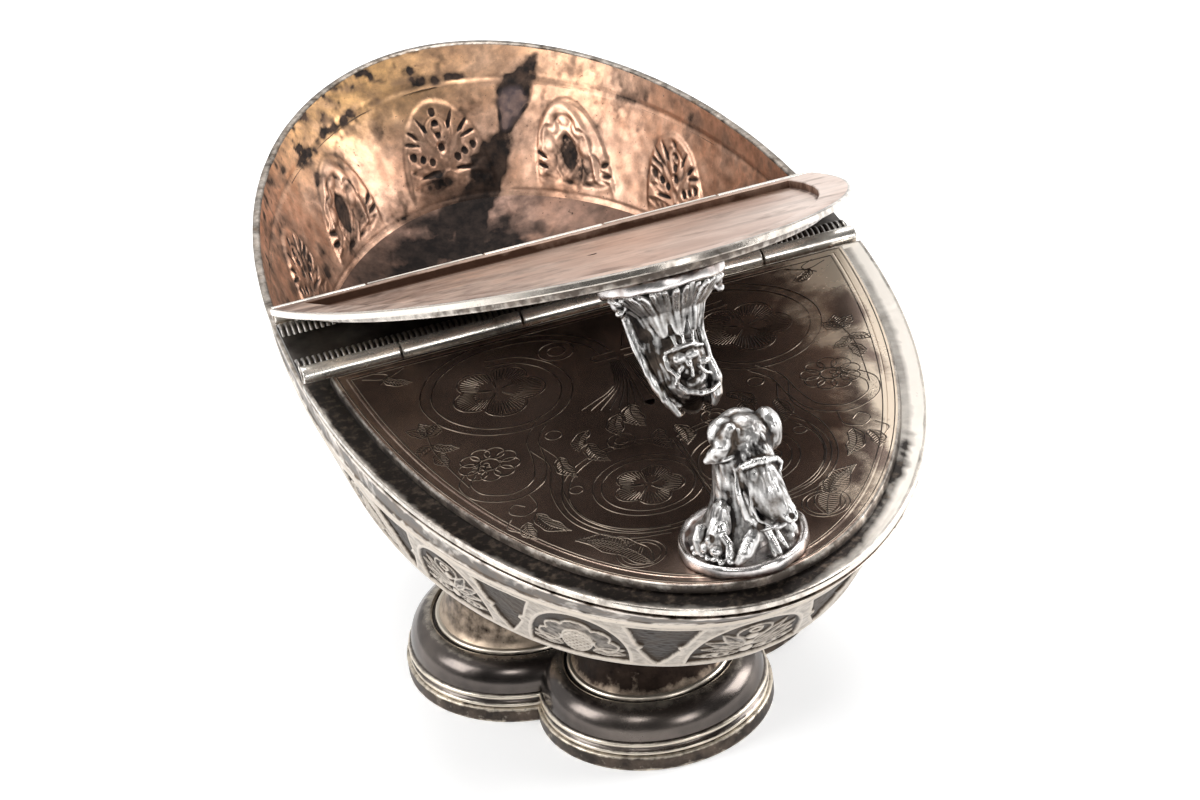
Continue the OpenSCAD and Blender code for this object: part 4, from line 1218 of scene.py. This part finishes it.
def bakeTool(name, mesh, tree, inputs):
    carrier = bpy.data.objects.new(name, mesh)
    scene.collection.objects.link(carrier)
    tool = carrier.modifiers.new("build", "NODES")
    tool.node_group = tree
    for key, value in inputs.items():
        tool[key] = value
    baked = bakedMesh(carrier)
    baked.name = name
    return baked


def wireTool(material):
    tree, given, out = nodeTool("engravedLines")
    thick = toolInput(tree, "Radius", "Float", 0.1)
    curve = geo(tree, "MeshToCurve", Mesh=given.outputs["Geometry"])
    circle = geo(tree, "CurvePrimitiveCircle", Resolution=5, Radius=given.outputs["Radius"])
    tube = geo(tree, "CurveToMesh", Curve=curve.outputs[0], Profile_Curve=circle.outputs[0])
    smooth = geo(tree, "SetShadeSmooth", Geometry=tube.outputs[0])
    solid = geo(tree, "RealizeInstances", Geometry=smooth.outputs[0])
    painted = geo(tree, "SetMaterial", Geometry=solid.outputs[0], Material=finish[material])
    tree.links.new(painted.outputs[0], out.inputs[0])
    return tree, thick


def dotTool():
    tree, given, out = nodeTool("stipple")
    size = toolInput(tree, "Radius", "Float", 0.1)
    ball = geo(tree, "MeshIcoSphere", Radius=given.outputs["Radius"], Subdivisions=1)
    spots = geo(tree, "InstanceOnPoints", Points=given.outputs["Geometry"], Instance=ball.outputs[0])
    solid = geo(tree, "RealizeInstances", Geometry=spots.outputs[0])
    painted = geo(tree, "SetMaterial", Geometry=solid.outputs[0], Material=finish["cutSilver"])
    tree.links.new(painted.outputs[0], out.inputs[0])
    return tree, size


def edgeMesh(name, paths, place, z):
    points, edges, count = [], [], 0
    for path in paths:
        points.append(atHeight(path, z))
        first = np.arange(count, count + len(path) - 1)
        edges.append(np.column_stack([first, first + 1]))
        count += len(path)
    mesh = bpy.data.meshes.new(name)
    mesh.from_pydata(place(np.concatenate(points)) * mm, np.concatenate(edges).tolist(), [])
    return mesh


def makeScrolls():
    middles = [smoothPath(points, scrolls["step"]) for points in scrolls["tendrils"]]
    lines, dots = scrollPaths(middles), stippleDots(middles)
    # each line is drawn twice: in lighter silver, and as a dark copy shifted beside it, painted light and
    # shade on the two walls of the cut; the stipple dots take the dark silver
    shaded = [path + scrolls["shift"] for path in lines]
    stipple, dotKey = dotTool()
    wires = [("Scrolls", lines, scrolls["line"], scrolls["lineSink"], wireTool("litLineSilver")),
             ("Cuts", shaded, scrolls["cut"], scrolls["cutSink"], wireTool("cutSilver"))]
    for name, place, body in (("front", asIs, "front_lid"), ("rear", onRear, "rear_lid")):
        for label, paths, thick, sink, (tool, key) in wires:
            raw = edgeMesh(name + label, paths, place, panelZ - sink)
            mesh = bakeTool(name + label, raw, tool, {key: thick * mm})
            addPiece(name + label, mesh, body, "engraved_silver", name + "_lid_plate")
        raw = bpy.data.meshes.new(name + "Stipple")
        raw.from_pydata(place(atHeight(dots, panelZ - scrolls["dotSink"])) * mm, [], [])
        mesh = bakeTool(name + "Stipple", raw, stipple, {dotKey: scrolls["dot"] * mm})
        addPiece(name + "Stipple", mesh, body, "engraved_silver", name + "_lid_plate")


makeScrolls()
print("scrolls engraved")


# ribbed mouldings along the bridge, in millimetres
reed = {"radius": 2.2, "pitch": 0.8, "thick": 0.42, "core": 0.35, "steps": 16, "shine": 0.55}


def reedTool():
    tree, given, out = nodeTool("ribbedMoulding")
    inputs = [("Count", "Int", 100), ("Step", "Vector", (0, 0, 0)), ("Start", "Vector", (0, 0, 0)),
              ("Radius", "Float", 1), ("Thick", "Float", 1), ("From", "Float", 0), ("Sweep", "Float", 1)]
    keys = [toolInput(tree, *row) for row in inputs]
    row = geo(tree, "MeshLine", Count=given.outputs["Count"], Start_Location=given.outputs["Start"],
              Offset=given.outputs["Step"])
    bow = geo(tree, "CurveArc", Resolution=reed["steps"], Radius=given.outputs["Radius"],
              Start_Angle=given.outputs["From"], Sweep_Angle=given.outputs["Sweep"])
    ring = geo(tree, "CurvePrimitiveCircle", Resolution=8, Radius=given.outputs["Thick"])
    rib = geo(tree, "CurveToMesh", Curve=bow.outputs[0], Profile_Curve=ring.outputs[0])
    stood = geo(tree, "Transform", Geometry=rib.outputs[0], Rotation=(math.pi / 2, 0, math.pi / 2))
    ribs = geo(tree, "InstanceOnPoints", Points=row.outputs[0], Instance=stood.outputs[0])
    solid = geo(tree, "RealizeInstances", Geometry=ribs.outputs[0])
    smooth = geo(tree, "SetShadeSmooth", Geometry=solid.outputs[0])
    painted = geo(tree, "SetMaterial", Geometry=smooth.outputs[0], Material=finish["reedSilver"])
    tree.links.new(painted.outputs[0], out.inputs[0])
    return tree, keys


def reedCore(name, low, high, middle, turns):
    rows = [aboutX(x, middle, reed["radius"] - reed["core"], turns) for x in (low[0], high[0])]
    return fillMesh(name, np.array(rows), gridFaces(2, len(turns), False), [finish["reedSilver"]],
                    values={"wearAndLight": np.zeros(2 * len(turns))})


def makeReeds():
    tree, keys = reedTool()
    for name, node in (("frontReed", "front_bridge_reed"), ("rearReed", "rear_bridge_reed")):
        low, high = (np.array(c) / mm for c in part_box(node))
        count = round((high[0] - low[0]) / reed["pitch"])
        pitch = (high[0] - low[0]) / count
        thick = pitch * reed["thick"]
        middle = ((low[1] + high[1]) / 2, high[2] - reed["radius"])
        first = math.asin((low[2] - middle[1]) / reed["radius"])
        start = (low[0] + pitch / 2, *middle)
        values = [count, (pitch * mm, 0.0, 0.0), tuple(v * mm for v in start), (reed["radius"] - thick) * mm,
                  thick * mm, first, math.pi - 2 * first]
        mesh = bakeTool(name, bpy.data.meshes.new("blank"), tree, dict(zip(keys, values)))
        reach = np.hypot(*(meshPoints(mesh)[:, 1:] / mm - middle).T)
        wearAndLight = reed["shine"] * smoothStep(-0.6, 0.1, reach - reed["radius"])
        setValues(mesh, "wearAndLight", wearAndLight)
        addPiece(name + "Ribs", mesh, "boat", "dark_silver", node)
        turns = np.linspace(first, math.pi - first, reed["steps"])
        core = reedCore(name + "Core", low, high, middle, turns)
        addPiece(name + "Core", core, "boat", "dark_silver", node)


makeReeds()
print("reeds made")


# cast handles: bead chains of x, y, z and radius in millimetres from the base plate, y minus to the tip;
# balls with three radii, rings with radius, thickness and aim, spots of painted shade in hollows and spots of
# painted highlight, each with a radius
handle = {"y": 76.9, "radius": 8.1, "plate": 1.0, "lip": 0.7, "lipWide": 0.9, "around": 180, "voxel": 0.12}
frontBeast = {
    "chains": [[(-0.8, 0.6, -0.4, 4.6), (-0.7, 0.5, 2.4, 3.4), (-0.6, 0.4, 6.2, 2.4), (-0.4, 0.2, 9.5, 2.4),
                (0.6, 0, 12, 3.2), (1.5, -0.2, 13.2, 3.4)],
               [(1.6, -1.6, 12.2, 2.8), (1.9, -3.2, 10.2, 2.6), (2.4, -4.4, 8, 2.3), (3.3, -5.4, 6.3, 1.7),
                (4, -6.1, 5.5, 1.3)],
               [(-0.7, -3, 11.3, 0.4), (0, -4.3, 12.4, 0.5), (0.9, -4.9, 13, 0.5), (2.4, -4.8, 12.8, 0.5),
                (4.1, -3.7, 11.9, 0.4)],
               [(4.1, -3.7, 11.9, 0.45), (4.6, -3.7, 11.2, 0.4), (4.2, -4.4, 10.7, 0.35)],
               [(-0.7, -3.2, 11, 0.4), (-1, -4.2, 8.6, 0.5), (-0.5, -4.8, 5.6, 0.55), (1.2, -5.3, 3.9, 0.5),
                (2.6, -6, 4.3, 0.45)],
               [(0.1, -5, 9.4, 0.2), (0, -5.4, 7.2, 0.25), (0.6, -5.9, 5.4, 0.25), (1.8, -6.5, 4.9, 0.25)],
               [(3.4, -7, 4.9, 0.38), (2.6, -6.9, 4.5, 0.4), (1.9, -6.6, 4.7, 0.35)],
               [(-0.4, -1.2, 15.8, 0.9), (-1.5, -1.5, 14.2, 1.3), (-2.5, -1.3, 13, 1.0),
                (-3.6, -0.8, 12.2, 0.4)],
               [(0.4, -1.9, 16, 0.25), (0.3, -2.7, 14.4, 0.32), (-0.6, -2.7, 13.2, 0.32),
                (-2, -2.1, 12.5, 0.3), (-3.7, -0.9, 12, 0.22)],
               [(-2.6, -1.4, 5.4, 1.2), (-3.4, -2.2, 3.2, 1.5), (-4.2, -3.0, 1.6, 1.5)],
               [(-5.2, -0.6, 3, 0.8), (-5.9, -1.4, 2, 0.8), (-6, -2.2, 0.9, 0.7)],
               [(-3.4, -3.8, 3.2, 0.5), (-3, -4.4, 2.2, 0.6), (-3.3, -5.1, 1, 0.6)],
               [(0.5, -4.4, 4.1, 0.5), (-0.3, -5.2, 2.9, 1.0), (-1.4, -5.7, 1.5, 1.05),
                (-2.5, -5.8, 0.4, 0.55)],
               [(1.6, -4.2, 3.2, 0.7), (2.2, -5.3, 1.6, 0.5), (2.6, -6.2, 0.4, 0.3)],
               [(1.9, -4.6, 2.4, 0.4), (1.8, -5.8, 1, 0.35), (1.9, -6.4, 0.3, 0.25)],
               [(2.6, -4, 3, 0.5), (3.2, -4.9, 1.6, 0.4), (3.8, -5.6, 0.4, 0.25)],
               [(3, -1, 4, 1.2), (4.4, -1.8, 2.2, 1.1), (5.4, -2.6, 0.9, 0.8)],
               [(3.4, 0.4, 4, 1.1), (5, 0.4, 2.2, 1.0), (6, 0.2, 0.8, 0.7)],
               [(0, 3.4, 0.4, 1.6), (0.4, 4.6, 4, 1.5), (0.9, 4.2, 8.5, 1.2), (0.9, 3.6, 12, 1.2)]],
    "toes": [(-5.3, -3.5, 1.0), (-4.2, -4.9, 0.9), (-6.2, -1.7, 0.9), (5.4, -2.6, 0.7)],
    "balls": [(-5.4, -2.8, 1.6, 0.9, 0.8, 0.9), (-4.6, -4.1, 1.7, 0.9, 0.8, 0.8),
              (-5, -3.1, 2.7, 0.6, 0.6, 0.7), (-0.9, 0.3, 14.6, 1.9, 1.7, 2.2),
              (4.7, 0.5, 13.6, 1.7, 2.4, 2.8), (1.4, 2, 13.8, 3.0, 2.0, 2.6),
              (2.7, -6.8, 4.7, 0.75, 0.6, 0.5)],
    "rings": [(4.2, -7.0, 5.8, 0.72, 0.32, (0.35, -0.75, 0.5))],
    "shadedHollows": [(4.2, -7.2, 5.8, 0.42), (0.8, -5.7, 4.5, 0.6), (4.4, -4.4, 3.6, 1.2), (-2.4, -3.6, 2.4, 0.7),
                (0.7, -5.8, 1.2, 0.6), (-4.8, -3.3, 3, 0.5)],
    "shine": [(-0.9, -6.2, 2.2, 1.7)],
    "grain": (-1.8, -1.6, 13.8, 2.0), "fur": (2.5, 15.5), "base": 0.38}
rearBeast = {
    "chains": [[(0, 0.8, -0.4, 4.5), (0.5, 0.5, 3.5, 3.6), (0.6, 0.2, 6, 3.3), (0.5, 0, 9, 3.4),
                (-0.2, 0, 12, 3.2), (-0.6, 1.6, 14.4, 2.1), (-0.8, 2.4, 16, 1.4)],
               [(5.4, -0.5, 3.6, 0.75), (5, -0.9, 7, 0.75), (4.4, -1.2, 10.6, 0.7), (3.2, -1.3, 14.2, 0.6),
                (1.9, -1, 16.5, 0.4)],
               [(3.8, 0, 4, 1.5), (3.4, -0.2, 8, 1.6), (2.8, -0.2, 12, 1.3), (1.5, 0.8, 15.4, 0.9)],
               [(-3.6, -0.9, 3.8, 0.5), (-3.1, -1.7, 7, 0.5), (-3.2, -1.8, 10.4, 0.55), (-3.7, -1.5, 13, 0.8),
                (-3.4, -0.9, 15, 0.8), (-2.9, -0.5, 16.2, 0.5)],
               [(-2.6, 0, 10, 1.2), (-2.9, 0.1, 13, 1.3), (-2.7, 0.5, 15.4, 1.0)],
               [(1.6, -2.9, 12.6, 0.4), (0.6, -3.5, 13.7, 0.42), (-0.9, -3.7, 14.3, 0.42),
                (-2.3, -3.2, 14.3, 0.42), (-3.6, -2.2, 13.9, 0.4)],
               [(0.7, -4, 10.5, 0.3), (1.5, -3.6, 11.4, 0.28), (1.6, -3.3, 12.2, 0.2)],
               [(-0.3, -4.3, 10.8, 0.28), (-0.2, -4.2, 11.9, 0.25)],
               [(-1.3, -4.2, 10.9, 0.28), (-1.9, -3.9, 11.8, 0.28), (-2.7, -3.2, 12.2, 0.2)],
               [(2.2, -3.3, 8.4, 0.3), (0.9, -4, 8.1, 0.34), (-0.8, -4.1, 8.0, 0.34), (-2.4, -3.4, 8.5, 0.3)],
               [(1.2, -3.6, 6.6, 0.2), (0.9, -4, 8, 0.25)], [(-0.2, -3.7, 6.4, 0.2), (-0.1, -4.1, 8, 0.25)],
               [(-1.6, -3.4, 6.6, 0.2), (-1.3, -3.9, 8, 0.25)],
               [(2.4, -3, 9, 0.35), (2.3, -3.4, 10.4, 0.35), (1.5, -3.8, 11.4, 0.35),
                (1.8, -3.4, 12.4, 0.3)]],
    "balls": [(-0.2, -2.4, 9.8, 2.6, 1.8, 2.8), (0.9, -4.1, 9.4, 0.95, 0.6, 0.75),
              (-0.7, -4.2, 9.2, 0.9, 0.65, 0.7), (-2.2, -3.6, 10.4, 0.8, 0.55, 0.6),
              (-0.1, -4.4, 10.2, 0.45, 0.4, 0.6), (6.1, -1.4, 1.4, 1.1, 1.1, 1.2),
              (-6.1, -1.4, 1.4, 1.1, 1.1, 1.2), (6.5, -2.3, 2.4, 0.6, 0.6, 0.6),
              (-6.5, -2.3, 2.4, 0.6, 0.6, 0.6), (5.5, -2.9, 1.0, 0.65, 0.65, 0.65),
              (-5.5, -2.9, 1.0, 0.65, 0.65, 0.65)],
    "rings": [(6.2, -2.4, 1.7, 0.62, 0.26, (0.6, -0.8, 0.2)),
              (-6.2, -2.4, 1.7, 0.62, 0.26, (-0.6, -0.8, 0.2))],
    "acanthus": [-72, -36, 0, 36, 72],
    "shadedHollows": [(-0.9, -0.6, 16.4, 1.9), (-0.9, -1.6, 15.4, 1.4), (-0.8, -4.2, 12.5, 0.9),
                (0.7, -3.9, 12.1, 0.7), (-2.2, -3.4, 12.6, 0.7), (3.6, -2.2, 9, 0.8), (3.0, -2.2, 12.5, 0.8),
                (3.8, -1.8, 6, 0.8)],
    "shine": [(0.9, -4.7, 9.4, 0.8), (-0.7, -4.8, 9.2, 0.8), (-2.3, -4.1, 10.4, 0.7)],
    "grain": (-0.4, -3.6, 12.6, 1.2), "fur": (5.5, 16), "base": 0.35}


def ballPoints(level):
    bm = bmesh.new()
    bmesh.ops.create_icosphere(bm, subdivisions=level, radius=1)
    points = np.array([v.co[:] for v in bm.verts])
    faces = np.array([[v.index for v in f.verts] for f in bm.faces])
    bm.free()
    return points, faces


def chainBalls(chain):
    out = []
    for a, b in zip(np.array(chain[:-1]), np.array(chain[1:])):
        thin = min(a[3], b[3])
        count = max(2, int(np.linalg.norm(b[:3] - a[:3]) / (thin * (0.3 if thin < 0.9 else 0.13))))
        for f in np.linspace(0, 1, count, endpoint=False):
            x, y, z, r = a + (b - a) * f
            out.append((x, y, z, r, r, r))
    x, y, z, r = chain[-1]
    return out + [(x, y, z, r, r, r)]


def ringBalls(x, y, z, radius, thick, aim):
    aim = np.array(aim) / np.linalg.norm(aim)
    side = np.cross(aim, (0, 0, 1))
    side /= np.linalg.norm(side)
    up = np.cross(side, aim)
    turns = np.linspace(0, 2 * np.pi, 24, endpoint=False)
    spots = np.array([x, y, z]) + radius * (np.outer(np.cos(turns), side) + np.outer(np.sin(turns), up))
    return [(*spot, thick, thick, thick) for spot in spots]


def acanthusBalls(angle):
    out = []
    blades = ((0, 0, 0.55), (-11, 0.1, 0.4), (11, 0.1, 0.4), (-17, 0.5, 0.32), (17, 0.5, 0.32))
    for shift, drop, thick in blades:
        a = math.radians(angle + shift)
        s, c = math.sin(a), math.cos(a)
        low = math.radians(angle + shift * 0.4)
        out += chainBalls([(3.2 * math.sin(low), -0.6 - 2.9 * math.cos(low), 6.4, thick * 0.8),
                           (4.2 * s, -0.6 - 3.7 * c, 3.4, thick), (6.1 * s, -0.6 - 5.4 * c, 1.5, thick),
                           (7.2 * s, -0.6 - 6.3 * c, 0.9 - drop, thick * 0.8)])
    return out


def fusedBalls(name, balls):
    points, faces, count = [], [], 0
    fine, coarse = ballPoints(3), ballPoints(2)
    for x, y, z, rx, ry, rz in balls:
        shape, sides = fine if rx > 1 else coarse
        points.append(shape * (rx, ry, rz) + (x, y, z))
        faces.append(sides + count)
        count += len(shape)
    mesh = fillMesh(name, np.concatenate(points) / mm, np.concatenate(faces), [])
    rough = bpy.data.objects.new(name, mesh)
    scene.collection.objects.link(rough)
    fuse = rough.modifiers.new("fuse", "REMESH")
    fuse.mode = "VOXEL"
    fuse.voxel_size = handle["voxel"]
    fused = bakedMesh(rough)
    points = meshPoints(fused)
    faces = np.array([p.vertices[:] for p in fused.polygons])
    bpy.data.meshes.remove(fused)
    return points, faces


def averaged(points, faces, passes):
    pairs = np.concatenate([faces[:, [k, (k + 1) % 4]] for k in range(4)])
    a, b = np.concatenate([pairs, pairs[:, ::-1]]).T
    number = np.bincount(a, minlength=len(points))[:, None]
    for _ in range(passes):
        total = np.column_stack([np.bincount(a, points[b, k], len(points)) for k in range(3)])
        points = 0.5 * points + 0.5 * total / number
    return points


def pointNormals(points, faces):
    across = np.cross(points[faces[:, 2]] - points[faces[:, 0]], points[faces[:, 3]] - points[faces[:, 1]])
    normal = np.column_stack([sum(np.bincount(faces[:, k], across[:, i], len(points)) for k in range(4))
                              for i in range(3)])
    return normal / np.maximum(np.linalg.norm(normal, axis=1, keepdims=True), 1e-9)


def beastBalls(figure):
    balls = list(figure["balls"])
    for chain in figure["chains"]:
        balls += chainBalls(chain)
    for ring in figure["rings"]:
        balls += ringBalls(*ring)
    for x, y, z in figure.get("toes", ()):
        for turn in (-0.16, 0.0, 0.16):
            away = math.atan2(y, x) + turn
            reach = math.hypot(x, y) + 0.35 - 2 * abs(turn)
            balls.append((reach * math.cos(away), reach * math.sin(away), z - 0.3, 0.5, 0.5, 0.45))
    for angle in figure.get("acanthus", ()):
        balls += acanthusBalls(angle)
    return balls


def makeBeast(name, figure, place, body, node):
    points, faces = fusedBalls(name, beastBalls(figure))
    points = averaged(points, faces, 2)
    normal = pointNormals(points, faces)
    # darker in hollows and deep recesses: tarnish in the small hollows, and painted shade in the deep ones
    hollow = np.sum((averaged(points, faces, 22) - points) * normal, axis=1)
    deep = np.sum((averaged(points, faces, 140) - points) * normal, axis=1)
    hair = 1 - 2.4 * np.abs(latticeNoise(points * (1.7, 1.7, 0.36), 1, 51))
    hair = hair + 0.5 * latticeNoise(points * (3.2, 3.2, 0.6), 1, 52)
    grain = np.array(figure["grain"])
    rough = smoothStep(grain[3] * 1.2, grain[3] * 0.7, np.linalg.norm(points - grain[:3], axis=1))
    low, high = figure["fur"]
    z = points[:, 2]
    furred = smoothStep(low, low + 2, z) * smoothStep(high + 1, high - 1, z) * (1 - rough)
    pebble = latticeNoise(points, 0.6, 53) * rough
    lumps = latticeNoise(points, 1.3, 54) * (1 - furred)
    amount = -0.06 * hair * furred + 0.13 * pebble + 0.06 * lumps
    points = points + normal * amount[:, None]
    wearAndLight = figure["base"] - 3.6 * hollow - 0.8 * deep + 0.2 * latticeNoise(points, 1.6, 55)
    wearAndLight += 0.22 * (0.45 - hair) * furred + 0.5 * pebble + 0.14 * smoothStep(low, low - 2, points[:, 2])
    # painted shade at the listed hollows and painted highlights at the shine spots
    for share, spots in ((-0.8, figure["shadedHollows"]), (0.5, figure["shine"])):
        for *spot, reach in spots:
            wearAndLight += share * smoothStep(reach * 1.3, reach * 0.5, np.linalg.norm(points - spot, axis=1))
    seated = np.all(points[faces][:, :, 2] < 0.02, axis=1)
    lifted = points + (0, -handle["y"], panelZ + handle["plate"])
    mesh = fillMesh(name, place(lifted), faces[~seated], [finish["handleSilver"]], values={"wearAndLight": wearAndLight})
    addPiece(name, mesh, body, "bright_silver", node)


def makeHandleBase(name, place, body, node):
    r, plate, lip, wide = (handle[k] for k in ("radius", "plate", "lip", "lipWide"))
    rows = [(r - 0.4, 0.0, 0.1), (r - 0.05, 0.05, 0.3), (r, 0.3, 0.4), (r - 0.02, plate, 0.7),
            (r - 0.15, plate + lip * 0.75, 1), (r - 0.4, plate + lip, 1),
            (r - wide + 0.1, plate + lip * 0.7, 0.7), (r - wide - 0.1, plate + 0.1, 0.1),
            (r - wide - 0.6, plate, 0.5), (r - wide - 1.4, plate, 0.7), (r - wide - 2.4, plate, 0.6),
            (0.02, plate, 0.5)]
    turn = np.linspace(0, 2 * np.pi, handle["around"], endpoint=False)
    circle = np.column_stack([np.cos(turn), np.sin(turn)])
    flat = np.concatenate([atHeight(q * circle, h) for q, h, _ in rows])
    sway = 0.5 + 0.5 * latticeNoise(flat * (1, 1, 0.2), 1.9, 61)
    shrink = 1 - 0.035 * sway * smoothStep(4.5, 6.5, np.hypot(flat[:, 0], flat[:, 1]))
    flat = flat * np.column_stack([shrink, shrink, np.ones(len(flat))])
    flat[:, 2] -= 0.35 * sway * smoothStep(plate, plate + lip, flat[:, 2])
    wearAndLight = np.repeat([w for _, _, w in rows], len(turn)) + 0.3 * latticeNoise(flat, 1.2, 62)
    mesh = fillMesh(name, place(flat + (0, -handle["y"], panelZ)), gridFaces(len(rows), len(turn), True),
                    [finish["plateSilver"]], values={"wearAndLight": wearAndLight})
    addPiece(name, mesh, body, "bright_silver", node)


makeHandleBase("frontHandleBase", asIs, "front_lid", "front_handle_base")
makeHandleBase("rearHandleBase", onRear, "rear_lid", "rear_handle_base")
makeBeast("frontBeast", frontBeast, asIs, "front_lid", "front_handle_beast")
makeBeast("rearBeast", rearBeast, onRear, "rear_lid", "rear_handle_beast")
print("handles made")
